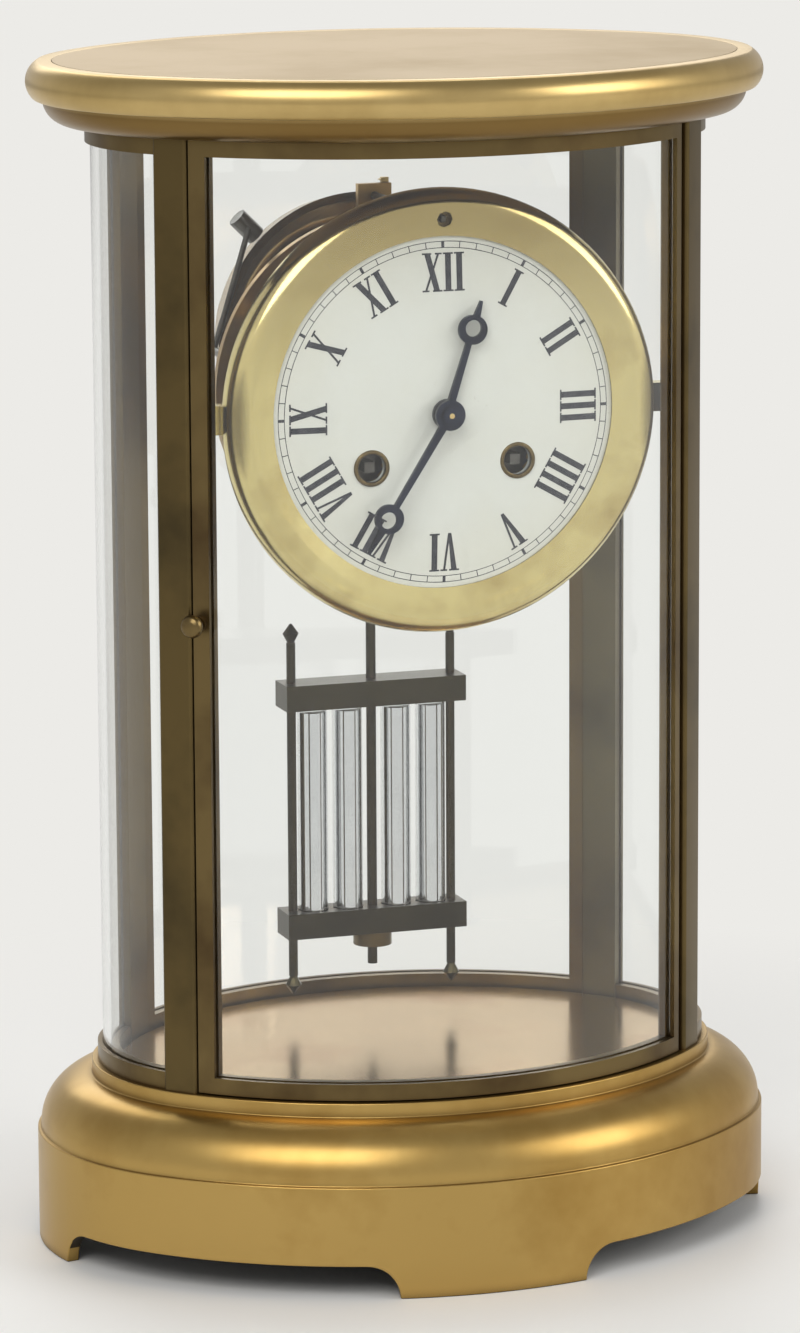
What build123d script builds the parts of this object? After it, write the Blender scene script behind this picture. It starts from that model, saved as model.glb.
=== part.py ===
from build123d import *
import os
from math import asin, atan2, cos, degrees, hypot, pi, radians, sin, sqrt

# Crystal regulator clock: an oval four-glass case with a striking movement
# and a four-vial pendulum. Millimetres, +Z up, front towards -Y, origin on
# the table under the middle of the clock.

# Case outline: a four-arc oval that runs through the outer faces of the posts
case_half_width = 72.0
case_half_depth = 53.5
post_angle = 47.0  # degrees from the front, where the two arcs meet

# Case heights
base_height = 41.5
opening_height = 214.5

# Base plinth
base_spread = 13.5
base_band_height = 25.6
base_quirk_depth = 0.8
base_quirk_height = 0.8
base_neck_spread = 0.9
base_wall = 3.0
base_web = 3.0
base_pocket_spread = 0.1
apron_height = 7.5
front_pad_half_width = 22.0
side_pad_half_width = 12.0
floor_thickness = 1.2
floor_inset = 7.0

# Cornice
cornice_spread = 12.5
cornice_top_spread = 9.8
cornice_soffit_spread = 10.8
cornice_ovolo_radius = 5.6
cornice_neck_spread = 3.2
fascia_height = 8.4
cornice_web = 3.0
cornice_inside_spread = 1.8
lid_spread = 6.5
lid_thickness = 2.0

# Posts and their nuts
post_width = 8.5
post_depth = 6.0
post_corner = 0.9
tenon_radius = 1.6
tenon_fit = 0.05
nut_height = 2.4
nut_across_flats = 5.0
nut_sides = 6
tenon_end = 0.8

# Doors, side rails and glass
frame_depth = 5.0
frame_setback = 0.5
rail_height = 4.0
stile_width = 4.0
door_gap = 0.3
door_end_gap = 0.35
glass_thickness = 1.8
glass_setback = 1.7
groove_depth = 1.5
groove_clearance = 0.1
pivot_radius = 1.0
pivot_inset = 2.0
pivot_seat = 2.1
pivot_reach = 2.0
pivot_clearance = 0.05
knob_radius = 2.6
knob_length = 5.4
knob_neck_radius = 1.2
knob_neck_length = 1.5
knob_foot_radius = 1.7
knob_foot_height = 0.8
knob_shank_radius = 0.7
knob_inset = 1.6

# Dial
dial_head_room = 9.2
bezel_radius = 49.8
bezel_depth = 6.2
bezel_front_y = -33.2
bezel_inner_radius = 39.4
bezel_crown_radius = 4.2
bezel_lip = 0.6
enamel_lap = 1.8
enamel_thickness = 1.6
enamel_crown = 1.4
enamel_fit = 0.1
dial_foot_radius = 0.9
dial_foot_circle = 33.0
winding_spacing = 34.0
winding_drop = 11.5
winding_hole_radius = 3.4
centre_hole_radius = 2.6
regulator_hole_radius = 1.7
regulator_radius = 43.2
bezel_tab_reach = 36.5
bezel_tab_width = 6.0
lug_height = 6.5
lug_thickness = 3.5
lug_back_y = -22.0
lug_pad_thickness = 2.0
lug_pad_width = 8.0
lug_root = 5.0
screw_offset = 1.6
screw_head_radius = 1.5
screw_head_height = 0.9
screw_radius = 0.8
lug_screw_length = 4.6
tab_screw_length = 4.4

# Movement frame
plate_radius = 40.0
plate_thickness = 2.0
plate_front_y = -24.0
plate_gap = 32.0
pillar_radius = 2.2
pillar_circle = 35.5
pillar_tenon_radius = 1.2
pillar_tenon_reach = 0.8
pillar_back_reach = 2.0
pillar_pin_radius = 0.4
pillar_pin_length = 6.0

# Arbors and teeth
arbor_radius = 1.0
pivot_pin_radius = 0.6
running_clearance = 0.05
end_shake = 0.15
addendum_share = 0.85
dedendum_share = 1.15
root_half_share = 0.28
wheel_thickness = 1.0
pinion_length = 3.0
hub_radius = 2.4
rim_width = 1.6
spoke_width = 1.6

# Depths of the wheels behind the front plate
barrel_rim_y = -20.0
first_layer_y = -2.0
second_layer_y = 2.0
third_layer_y = 6.0
escape_layer_y = -8.0

# Going train
barrel_teeth = 56
barrel_module = 0.55
barrel_drum_radius = 13.6
barrel_rim_thickness = 1.8
barrel_drum_length = 14.0
intermediate_teeth = 44
intermediate_leaves = 8
centre_teeth = 48
centre_leaves = 8
third_teeth = 42
third_leaves = 8
escape_leaves = 7
escape_teeth = 24
intermediate_module = 0.50
centre_module = 0.46
third_module = 0.44
escape_radius = 8.6
escape_tooth_depth = 1.7
escape_rise = 19.0
escape_thickness = 0.8
escape_root_shares = (0.25, 0.75)

# Anchor, crutch and back cock
pallet_rise = 31.0
pallet_half_span = 7.2
pallet_drop = 5.9
pallet_thickness = 2.0
crutch_front_y = 13.6
crutch_thickness = 1.2
crutch_width = 2.0
crutch_length = 25.0
fork_depth = 1.8
fork_side = 1.5
fork_slot_clearance = 0.3
fork_reach = 3.0
cock_front_y = 16.4
cock_thickness = 1.8
cock_half_width = 12.0
cock_drop = 6.0
cock_foot_width = 4.0
cock_arm_width = 8.0
cock_arm_low = 7.0
cock_arm_high = 9.5
spring_arm_width = 3.0
cock_top = 15.0

# Winding work
winding_arbor_radius = 1.7
winding_square = 2.3
winding_end_y = -30.4
winding_back_pivot = 1.2
ratchet_teeth = 14
ratchet_radius = 5.2
ratchet_tooth_depth = 0.9
ratchet_thickness = 1.1
ratchet_front_gap = 0.2
click_gap = 0.15
click_arm = 5.5
click_width = 2.0
click_stud_radius = 0.7

# Motion work behind the dial
cannon_leaves = 10
minute_teeth = 30
minute_leaves = 8
hour_teeth = 32
motion_module = 0.46
motion_thickness = 1.0
motion_gap = 0.9
motion_front_gap = 0.9
cannon_bore = 0.65
cannon_radius = 1.3
hour_pipe_bore = 1.4
hour_pipe_radius = 2.0
minute_stud_radius = 0.8

# Striking train
pin_teeth = 40
pin_leaves = 8
warning_teeth = 36
warning_leaves = 8
fly_leaves = 7
pin_module = 0.50
warning_module = 0.42
pin_direction = 113.0
warning_direction = 65.0
fly_direction = 60.0
pin_count = 8
pin_circle = 8.0
pin_radius = 0.5
pin_reach = 1.8
fly_half_width = 5.4
fly_length = 8.0
fly_thickness = 0.5
fly_front_y = -18.0

# Hammer and bell
bell_rise = 9.0
bell_radius = 34.0
bell_mouth_y = 27.5
bell_depth = 14.5
bell_wall = 1.8
bell_crown_radius = 8.0
bell_stand_x = 12.0
bell_stand_radius = 1.6
bell_arm_height = 4.4
bell_arm_thickness = 2.5
bell_stud_radius = 1.2
bell_flare = 1.6
bell_shoulder = 7.0
bell_corner_share = 0.6
bell_foot_height = 1.5
bell_shoulder_radius = 3.0
bell_cap_radius = 2.6
bell_cap_height = 1.6
hammer_x = -35.5
hammer_rise = 8.0
hammer_side = 135.0
hammer_gap = 0.8
hammer_head_length = 6.5
hammer_head_radius = 2.3
hammer_rod_radius = 0.7
hammer_y = 28.6
hammer_rod_y = 26.6
hammer_tail_depth = 1.4
hammer_tail_gap = 0.8
hammer_tail_width = 1.4

# Hands, as read at rest
minute_hand_minutes = 35.4
hour_hand_hours = 12.59
MINUTE_ANGLE = 6
HOUR_ANGLE = 30
minute_hand_length = 35.5
hour_hand_length = 26.0
hand_thickness = 0.6
hour_hand_y = -34.2
minute_hand_y = -36.0
hand_hub_radius = 3.2
hand_width = 1.5
moon_radius = 3.1
moon_hole_radius = 2.1
moon_hole_rise_share = 1 / 3
moon_share = 0.75
hand_taper_share = 0.6
hand_point_share = 0.15
hand_nut_radius = 2.0
hand_nut_height = 1.2

# Suspension and its regulator
suspension_y = 21.5
strip_thickness = 0.24
strip_width = 4.0
strip_length = 9.5
chops_width = 8.0
chops_height = 3.2
chops_rise = 1.6
chops_front_y = 18.5
chops_back_y = 24.0
slit_end_room = 0.2
slit_clearance = 0.08
lower_block_width = 3.0
lower_block_height = 4.0
lower_block_depth = 5.0
hook_pin_radius = 0.6
clevis_width = 4.0
clevis_wall = 1.0
clevis_gap = 0.1
clevis_height = 9.0
regulator_arbor_radius = 0.9
regulator_leaves = 12
regulator_module = 0.35
regulator_end_y = -31.0
regulator_square = 1.1
rack_width = 1.6
rack_teeth = 7
rack_thickness = 1.4
rack_gap = 0.2

# Pendulum
bob_height = 93.4
bar_spacing = 54.0
bar_height = 6.0
bar_half_length = 21.8
bar_depth = 9.0
vial_radius = 3.5
vial_wall = 0.5
vial_foot = 0.8
vial_seat = 2.0
vial_inner_x = 5.9
vial_outer_x = 14.4
mercury_space = 3.0
side_rod_x = 19.4
side_rod_radius = 1.1
side_rod_reach = 9.5
finial_radius = 1.9
finial_height = 4.4
finial_neck_radius = 0.8
finial_tip_radius = 0.4
centre_rod_radius = 1.2
rating_nut_radius = 4.5
rating_nut_height = 3.2
rod_tail = 8.0

# Derived heights
cornice_bottom = base_height + opening_height
dial_height = cornice_bottom - rail_height - bezel_radius - dial_head_room
cornice_height = cornice_ovolo_radius + fascia_height
total_height = cornice_bottom + cornice_height

# One overrun serves every cut
overrun = 1.0

# Sides and chords that stand in for small or shallow curves
small_sides = 8
shoulder_chords = 5
ovolo_chords = 3
fascia_chords = 3
bezel_chords = 3
enamel_chords = 2
grip_chords = 4

# The four arcs of the oval
post_sine = sin(radians(post_angle))
post_cosine = cos(radians(post_angle))
centre_gap = (case_half_width - case_half_depth) / (post_cosine + post_sine - 1)
end_centre_x = centre_gap * post_sine
front_centre_y = centre_gap * post_cosine
end_radius = case_half_width - end_centre_x
front_radius = case_half_depth + front_centre_y
post_x = end_centre_x + end_radius * post_sine
post_y = end_radius * post_cosine

END_HALF_ANGLE = 90 - post_angle
FRONT_ARC = (0, front_centre_y, front_radius, -90, post_angle)
RIGHT_ARC = (end_centre_x, 0, end_radius, 0, END_HALF_ANGLE)
REAR_ARC = (0, -front_centre_y, front_radius, 90, post_angle)
LEFT_ARC = (-end_centre_x, 0, end_radius, 180, END_HALF_ANGLE)
OVAL = (FRONT_ARC, RIGHT_ARC, REAR_ARC, LEFT_ARC)


def chords(centre, radius, start, finish, count):
    """Points along an arc, so that a moulding is drawn with a few straight chords."""
    points = []
    for step in range(count + 1):
        angle = radians(start + (finish - start) * step / count)
        points.append((centre[0] + radius * cos(angle), centre[1] + radius * sin(angle)))
    return points


def along_curve(curve, count):
    """Points spaced along a drawn curve, its two ends among them."""
    places = [curve @ (step / count) for step in range(count + 1)]
    return [(place.X, place.Y) for place in places]


def small_hole(radius):
    """The outline of a small hole: an octagon that clears the given radius."""
    return RegularPolygon(radius, small_sides, major_radius=False)


def small_bar(radius):
    """The outline of a small bar or pin: an octagon that keeps inside the given radius."""
    return RegularPolygon(radius, small_sides)


def carry_round(section, arc, half_angle=None):
    """Turns a section, drawn as distance outside the oval and height, along one arc."""
    centre_x, centre_y, radius, middle, arc_half = arc
    half = arc_half if half_angle is None else half_angle
    start = radians(middle - half)
    plane = Plane(
        origin=(centre_x, centre_y, 0),
        x_dir=(cos(start), sin(start), 0),
        z_dir=(sin(start), -cos(start), 0),
    )
    placed = plane.location * Pos(radius, 0, 0) * section
    axis = Axis((centre_x, centre_y, 0), (0, 0, 1))
    return revolve(placed, axis, 2 * half)


def carry_round_oval(section):
    """Carries a section round all four arcs as one ring."""
    ring = carry_round(section, FRONT_ARC)
    for arc in (RIGHT_ARC, REAR_ARC, LEFT_ARC):
        ring = ring + carry_round(section, arc)
    return ring


def block_section(inside, outside, low, high):
    """A plain rectangular section between two distances and two heights."""
    return make_face(Polyline((inside, low), (outside, low), (outside, high), (inside, high), close=True))


def oval_plate(spread, low, high):
    """A flat plate with the oval's outline, moved outward by spread."""
    edges = []
    for centre_x, centre_y, radius, middle, half in OVAL:
        edges.append(CenterArc((centre_x, centre_y), radius + spread, middle - half, 2 * half))
    return Pos(0, 0, low) * extrude(make_face(edges), high - low)


def upright(radius, low, high):
    """A vertical cylinder between two heights."""
    return Pos(0, 0, low) * extrude(Circle(radius), high - low)


def upright_bar(radius, low, high):
    """A small vertical rod between two heights."""
    return Pos(0, 0, low) * extrude(small_bar(radius), high - low)


def upright_hole(radius, low, high):
    """The room for a small vertical rod between two heights."""
    return Pos(0, 0, low) * extrude(small_hole(radius), high - low)


def post_frame(side_x, side_y):
    """The place of one post: local X outward along its normal, Z up."""
    return Plane(
        origin=(side_x * post_x, side_y * post_y, 0),
        x_dir=(side_x * post_sine, side_y * post_cosine, 0),
        z_dir=(0, 0, 1),
    ).location


def post_block(side_x, side_y, margin, low, high):
    """The room that one post takes, with a margin on its two sides."""
    reach = post_depth + overrun
    half = post_width / 2 + margin
    face = Pos(-reach / 2 + overrun, 0) * Rectangle(reach + 2 * overrun, 2 * half)
    return post_frame(side_x, side_y) * Pos(0, 0, low) * extrude(face, high - low)


POST_SIDES = {
    "front_left": (-1, -1),
    "front_right": (1, -1),
    "rear_left": (-1, 1),
    "rear_right": (1, 1),
}


def base_plinth():
    """Hollow cast base: band with four arched openings, broad shoulder, neck and web."""
    shoulder = base_spread - base_quirk_depth - base_neck_spread
    band_top = base_band_height
    shoulder_foot = band_top + base_quirk_height
    wall = base_spread - base_wall
    quirk = base_spread - base_quirk_depth
    outline = [(wall, 0), (base_spread, 0), (base_spread, band_top), (quirk, band_top)]
    outline += chords((base_neck_spread, shoulder_foot), shoulder, 0, 90, shoulder_chords)
    outline += [
        (base_neck_spread, base_height),
        (base_neck_spread - base_wall, base_height),
        (base_neck_spread - base_wall, base_height - base_web),
        (base_pocket_spread, base_height - base_web),
        (base_pocket_spread, base_height - 2 * base_web),
        (wall - base_wall, shoulder_foot + base_wall),
        (wall, shoulder_foot),
    ]
    plinth = carry_round_oval(make_face(Polyline(*outline, close=True)))
    web = oval_plate(base_neck_spread - base_wall / 2, base_height - base_web, base_height)
    plinth = plinth + web
    plinth = plinth - apron_openings()
    for side_x, side_y in POST_SIDES.values():
        hole = upright_hole(tenon_radius + tenon_fit, base_height - base_web - overrun, base_height + overrun)
        plinth = plinth - post_frame(side_x, side_y) * Pos(-post_depth / 2, 0) * hole
    for x, y in DOOR_PIVOTS:
        low = base_height - pivot_reach - overrun
        socket = upright_hole(pivot_radius + pivot_clearance, low, base_height + overrun)
        plinth = plinth - Pos(x, y) * socket
    return plinth


def apron_openings():
    """Four long shallow arches cut through the band, between pads at front, back and ends."""
    reach = base_spread + overrun
    inside = base_spread - base_wall - overrun
    front_start = degrees(asin(front_pad_half_width / (front_radius + base_spread)))
    side_start = degrees(asin(side_pad_half_width / (end_radius + base_spread)))
    front_round = degrees(apron_height / (front_radius + base_spread))
    side_round = degrees(apron_height / (end_radius + base_spread))
    band = block_section(inside, reach, -overrun, apron_height)
    cuts = []
    for front_arc, end_arc, front_sign in (
        (FRONT_ARC, RIGHT_ARC, 1),
        (FRONT_ARC, LEFT_ARC, -1),
        (REAR_ARC, RIGHT_ARC, -1),
        (REAR_ARC, LEFT_ARC, 1),
    ):
        first = front_start + front_round
        last = side_start + side_round
        cuts.append(arch_stretch(front_arc, band, first, post_angle, front_sign))
        cuts.append(arch_stretch(end_arc, band, last, END_HALF_ANGLE, -front_sign))
        cuts.append(arch_end(front_arc, first, front_sign))
        cuts.append(arch_end(end_arc, last, -front_sign))
    return cuts


def arch_stretch(arc, section, near, far, sign):
    """The straight-topped part of an opening, from near to far degrees off the arc's middle."""
    centre_x, centre_y, radius, middle, _ = arc
    centre = middle + sign * (near + far) / 2
    return carry_round(section, (centre_x, centre_y, radius, centre, (far - near) / 2))


def arch_end(arc, angle, sign):
    """The rounded end of an opening: a cylinder that lies along the arc's radius."""
    centre_x, centre_y, radius, middle, _ = arc
    direction = radians(middle + sign * angle)
    depth = base_wall + 2 * overrun
    reach = radius + base_spread - base_wall - overrun
    start = (centre_x + reach * cos(direction), centre_y + reach * sin(direction), 0)
    plane = Plane(origin=start, z_dir=(cos(direction), sin(direction), 0))
    return plane.location * extrude(Circle(apron_height), depth)


def floor_plate():
    """The thin oval floor inside the glass."""
    return oval_plate(-floor_inset, base_height, base_height + floor_thickness)


def top_cornice():
    """Dished top casting: bulging fascia over a quarter round, with a ledge for the lid."""
    soffit = total_height - fascia_height
    lid_seat = total_height - lid_thickness
    inside = cornice_inside_spread
    bulge = ThreePointArc(
        (cornice_soffit_spread, soffit),
        (cornice_spread, soffit + fascia_height / 2),
        (cornice_top_spread, total_height),
    )
    outline = [(inside, cornice_bottom)]
    outline += chords((cornice_neck_spread, soffit), cornice_ovolo_radius, -90, 0, ovolo_chords)
    outline += along_curve(bulge, fascia_chords)
    outline += [(lid_spread, total_height), (lid_spread, lid_seat), (inside, lid_seat)]
    cornice = carry_round_oval(make_face(Polyline(*outline, close=True)))
    web_spread = (inside + cornice_neck_spread) / 2
    cornice = cornice + oval_plate(web_spread, cornice_bottom, cornice_bottom + cornice_web)
    for side_x, side_y in POST_SIDES.values():
        top = cornice_bottom + cornice_web + overrun
        hole = upright_hole(tenon_radius + tenon_fit, cornice_bottom - overrun, top)
        cornice = cornice - post_frame(side_x, side_y) * Pos(-post_depth / 2, 0) * hole
    for x, y in DOOR_PIVOTS:
        top = cornice_bottom + pivot_reach + overrun
        socket = upright_hole(pivot_radius + pivot_clearance, cornice_bottom - overrun, top)
        cornice = cornice - Pos(x, y) * socket
    return cornice


def top_panel():
    """The flat lid let into the cornice."""
    return oval_plate(lid_spread, total_height - lid_thickness, total_height)


def post(side_x, side_y):
    """One rabbeted post: rounded outer corners, a glass groove and two threaded tenons."""
    half = post_width / 2
    glass_side = -side_x * side_y
    profile = Pos(-post_depth / 2, 0) * Rectangle(post_depth, post_width)
    profile = fillet(profile.vertices().group_by(Axis.X)[-1], post_corner)
    shaft = Pos(0, 0, base_height) * extrude(profile, opening_height)
    foot = base_height - base_web - nut_height - tenon_end
    head = cornice_bottom + cornice_web + nut_height + tenon_end
    tenons = upright_bar(tenon_radius, foot, base_height) + upright_bar(tenon_radius, cornice_bottom, head)
    whole = shaft + Pos(-post_depth / 2, 0) * tenons
    if side_y < 0:
        place = Pos(-post_depth, glass_side * screw_offset, dial_height) * Rot(0, 90, 0)
        hole = extrude(small_hole(screw_radius), lug_screw_length - lug_pad_thickness + overrun)
        whole = whole - place * Pos(0, 0, -overrun) * hole
    groove_out = -glass_setback + groove_clearance
    groove_in = groove_out - glass_thickness - 2 * groove_clearance
    groove = block_section(groove_in, groove_out, base_height, cornice_bottom)
    groove_half = END_HALF_ANGLE - degrees((half - groove_depth) / end_radius)
    return post_frame(side_x, side_y) * whole - carry_round(groove, end_arc(side_x), groove_half)


def post_nuts():
    """Eight hexagon nuts that draw the posts to base and cornice."""
    hexagon = RegularPolygon(nut_across_flats / 2, nut_sides, major_radius=False) - small_hole(tenon_radius)
    nut = extrude(hexagon, nut_height)
    nuts = []
    for side_x, side_y in POST_SIDES.values():
        place = post_frame(side_x, side_y) * Pos(-post_depth / 2, 0)
        nuts.append(place * Pos(0, 0, base_height - base_web - nut_height) * nut)
        nuts.append(place * Pos(0, 0, cornice_bottom + cornice_web) * nut)
    return Compound(nuts)


def end_arc(side):
    """The arc at the right end for +1 or the left end for -1."""
    return RIGHT_ARC if side > 0 else LEFT_ARC


def side_glass_low():
    """Lower edge of the side glass, down in its rail's groove."""
    return base_height + rail_height - groove_depth


def side_glass_high():
    """Upper edge of the side glass, up in its rail's groove."""
    return cornice_bottom - rail_height + groove_depth


def side_rails(side):
    """Curved rails under and over one side glass, butted between two posts."""
    outside = -frame_setback
    inside = outside - frame_depth
    groove_out = -glass_setback + groove_clearance
    groove_in = groove_out - glass_thickness - 2 * groove_clearance
    rail_top = base_height + rail_height
    rail_foot = cornice_bottom - rail_height
    rails = []
    for low, high, groove_low, groove_high in (
        (base_height, rail_top, side_glass_low(), rail_top + overrun),
        (rail_foot, cornice_bottom, rail_foot - overrun, side_glass_high()),
    ):
        groove = block_section(groove_in, groove_out, groove_low, groove_high)
        rail = carry_round(block_section(inside, outside, low, high), end_arc(side))
        rail = rail - carry_round(groove, end_arc(side))
        for side_y in (-1, 1):
            rail = rail - post_block(side, side_y, 0, low - overrun, high + overrun)
        rails.append(rail)
    return Compound(rails)


def side_glass(side):
    """Bent glass that slides in the grooves of two posts and two rails."""
    outside = -glass_setback
    inside = outside - glass_thickness
    edge = (post_width / 2 - groove_depth + groove_clearance) / end_radius
    half = END_HALF_ANGLE - degrees(edge)
    section = block_section(inside, outside, side_glass_low(), side_glass_high())
    return carry_round(section, end_arc(side), half)


def door_point(depth, along):
    """A place on the hinge side, by depth behind the oval and distance from the post's middle."""
    x = post_x - post_sine * depth - post_cosine * along
    y = -post_y + post_cosine * depth - post_sine * along
    return x, y


def door_pivot_place():
    """Where the front door's vertical pivot line stands, on the right-hand stile."""
    return door_point(frame_setback + pivot_inset, post_width / 2 + door_gap + pivot_inset)


DOOR_PIVOTS = (door_pivot_place(), (-door_pivot_place()[0], -door_pivot_place()[1]))


def door_heights():
    """Lower and upper edge of the door frames, with their end gaps."""
    return base_height + door_end_gap, cornice_bottom - door_end_gap


def door_frame():
    """The front door's curved brass frame, with its glass groove and rounded hinge edge."""
    low, high = door_heights()
    outside = -frame_setback
    inside = outside - frame_depth
    stile_angle = degrees((post_width / 2 + door_gap + stile_width) / front_radius)
    groove_angle = degrees((post_width / 2 + door_gap + stile_width - groove_depth) / front_radius)
    window_low = base_height + rail_height
    window_high = cornice_bottom - rail_height
    frame = carry_round(block_section(inside, outside, low, high), FRONT_ARC)
    window = block_section(inside - overrun, outside + overrun, window_low, window_high)
    frame = frame - carry_round(window, FRONT_ARC, post_angle - stile_angle)
    groove_out = -glass_setback + groove_clearance
    groove_in = groove_out - glass_thickness - 2 * groove_clearance
    groove = block_section(groove_in, groove_out, window_low - groove_depth, window_high + groove_depth)
    frame = frame - carry_round(groove, FRONT_ARC, post_angle - groove_angle)
    for side_x in (-1, 1):
        frame = frame - post_block(side_x, -1, door_gap, low - overrun, high + overrun)
    x, y = door_pivot_place()
    corner_x, corner_y = door_point(frame_setback, post_width / 2 + door_gap)
    corner = min(
        frame.edges().filter_by(Axis.Z),
        key=lambda edge: hypot(edge.center().X - corner_x, edge.center().Y - corner_y),
    )
    frame = fillet(corner, pivot_inset - pivot_clearance)
    for socket_low, socket_high in ((low - overrun, low + pivot_seat), (high - pivot_seat, high + overrun)):
        frame = frame - Pos(x, y) * upright_hole(pivot_radius, socket_low, socket_high)
    knob_x, knob_y, direction = knob_place()
    bore = Plane(origin=(knob_x, knob_y, knob_height()), z_dir=direction)
    shank_hole = extrude(small_hole(knob_shank_radius), frame_depth + 2 * overrun)
    return frame - bore.location * Pos(0, 0, -frame_depth - overrun) * shank_hole


def door_glass():
    """The front door's bent glass, in the groove of its frame."""
    outside = -glass_setback
    inside = outside - glass_thickness
    edge = (post_width / 2 + door_gap + stile_width - groove_depth + groove_clearance) / front_radius
    low = base_height + rail_height - groove_depth + groove_clearance
    high = cornice_bottom - rail_height + groove_depth - groove_clearance
    section = block_section(inside, outside, low, high)
    return carry_round(section, FRONT_ARC, post_angle - degrees(edge))


def door_pivots():
    """Two steel pins, fast in the stile and free in the base and cornice."""
    low, high = door_heights()
    x, y = door_pivot_place()
    lower = upright(pivot_radius, base_height - pivot_reach, low + pivot_seat)
    upper = upright(pivot_radius, high - pivot_seat, cornice_bottom + pivot_reach)
    return Pos(x, y) * Compound([lower, upper])


def knob_height():
    """The knob sits at the middle of the door."""
    return base_height + opening_height / 2


def knob_place():
    """Where the knob meets the latch stile's outer face, and the way it points."""
    angle = radians(post_angle) - (post_width / 2 + door_gap + knob_inset) / front_radius
    reach = front_radius - frame_setback
    x = -reach * sin(angle)
    y = front_centre_y - reach * cos(angle)
    return x, y, (-sin(angle), -cos(angle), 0)


def door_knob():
    """A turned knob: foot, neck and rounded grip, on a shank through the stile."""
    neck = knob_foot_height + knob_neck_length
    grip = ThreePointArc(
        (knob_neck_radius, neck), (knob_radius, (neck + knob_length) / 2), (knob_neck_radius, knob_length)
    )
    outline = [
        (0, -frame_depth),
        (knob_shank_radius, -frame_depth),
        (knob_shank_radius, 0),
        (knob_foot_radius, 0),
        (knob_foot_radius, knob_foot_height),
        (knob_neck_radius, knob_foot_height),
    ]
    outline += along_curve(grip, grip_chords)
    outline.append((0, knob_length))
    turned = revolve(Plane.XZ.location * make_face(Polyline(*outline, close=True)), Axis.Z)
    x, y, direction = knob_place()
    return Plane(origin=(x, y, knob_height()), z_dir=direction).location * turned


def facing_front(y):
    """A drawing plane at depth y, seen from the front: X right, Y up."""
    return Plane(origin=(0, y, 0), x_dir=(1, 0, 0), z_dir=(0, -1, 0)).location


def round_rod(x, z, radius, front, back):
    """A cylinder along the depth at one place."""
    return facing_front(back) * Pos(x, z, 0) * extrude(Circle(radius), back - front)


def rod(x, z, radius, front, back):
    """A small rod along the depth at one place."""
    return facing_front(back) * Pos(x, z, 0) * extrude(small_bar(radius), back - front)


def rod_hole(x, z, radius, front, back):
    """The room for a small rod along the depth at one place."""
    return facing_front(back) * Pos(x, z, 0) * extrude(small_hole(radius), back - front)


def plate_of(sketch, front, back):
    """A flat piece cut to a front-view sketch, between two depths."""
    return facing_front(back) * extrude(sketch, back - front)


def turned_along_depth(x, z, profile_edges):
    """A turned piece: edges drawn as radius and depth, turned about a line along the depth."""
    plane = Plane(origin=(x, 0, z), x_dir=(1, 0, 0), z_dir=(0, 0, 1))
    face = plane.location * make_face(profile_edges)
    return revolve(face, Axis((x, 0, z), (0, 1, 0)))


def stepped_rod(x, z, *steps, bearing=0):
    """A rod along the depth from (radius, front, back) steps that follow on; its bearing is round."""
    whole = None
    for number, (radius, front, back) in enumerate(steps):
        form = round_rod if number == bearing else rod
        step = form(x, z, radius, front, back)
        whole = step if whole is None else whole + step
    return whole


def winding_place(side):
    """A winding arbor's place, right for +1 and left for -1."""
    return side * winding_spacing / 2, dial_height - winding_drop


def box_between(low, high):
    """A plain block between two opposite corners."""
    sizes = [high[i] - low[i] for i in range(3)]
    middle = [(high[i] + low[i]) / 2 for i in range(3)]
    return Pos(*middle) * Box(*sizes)


plate_back_of_front_y = plate_front_y + plate_thickness
back_plate_y = plate_back_of_front_y + plate_gap
back_plate_rear_y = back_plate_y + plate_thickness
bezel_back_y = bezel_front_y + bezel_depth
enamel_front_y = bezel_front_y + bezel_crown_radius / 2 + enamel_fit
enamel_back_y = enamel_front_y + enamel_thickness
TAB_ANGLES = (55, 125, 270)
DIAL_FOOT_ANGLES = (0, 140, 225)
PILLAR_ANGLES = (30, 150, 240, 300)


def around_dial(circle, angle):
    """A place on a circle round the dial's centre."""
    return circle * cos(radians(angle)), dial_height + circle * sin(radians(angle))


def dial_bezel():
    """Cast bezel: raised crown, slope to a thin lip, three tabs and two lugs to the front posts."""
    crown = bezel_radius - bezel_crown_radius
    recess = bezel_inner_radius + enamel_lap
    outline = [(bezel_radius, bezel_back_y)]
    outline += chords((crown, bezel_front_y + bezel_crown_radius), bezel_crown_radius, 0, -90, bezel_chords)
    outline += [
        (bezel_inner_radius, enamel_front_y - bezel_lip),
        (bezel_inner_radius, enamel_front_y),
        (recess, enamel_front_y),
        (recess, bezel_back_y),
    ]
    bezel = turned_along_depth(0, dial_height, Polyline(*outline, close=True))
    tab_face = Pos((bezel_tab_reach + crown) / 2, 0) * Rectangle(crown - bezel_tab_reach, bezel_tab_width)
    for angle in TAB_ANGLES:
        tab = Pos(0, dial_height) * Rot(0, 0, angle) * tab_face
        bezel = bezel + plate_of(tab, bezel_back_y - bezel_lip, plate_front_y)
        x, z = screw_seat(angle)
        tip = plate_back_of_front_y - tab_screw_length
        bezel = bezel - rod_hole(x, z, screw_radius, tip, plate_front_y + overrun)
    for side_x in (-1, 1):
        bezel = bezel + dial_lug(side_x)
    regulator_z = dial_height + regulator_radius
    front = bezel_front_y - overrun
    bore = regulator_arbor_radius + running_clearance
    bezel = bezel - rod_hole(0, regulator_z, bore, front, bezel_back_y + overrun)
    return bezel - rod_hole(0, regulator_z, regulator_hole_radius, front, bezel_front_y + bezel_depth / 2)


def screw_seat(angle):
    """Where a tab's screw goes into the front plate."""
    return around_dial((bezel_tab_reach + plate_radius) / 2, angle)


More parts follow.
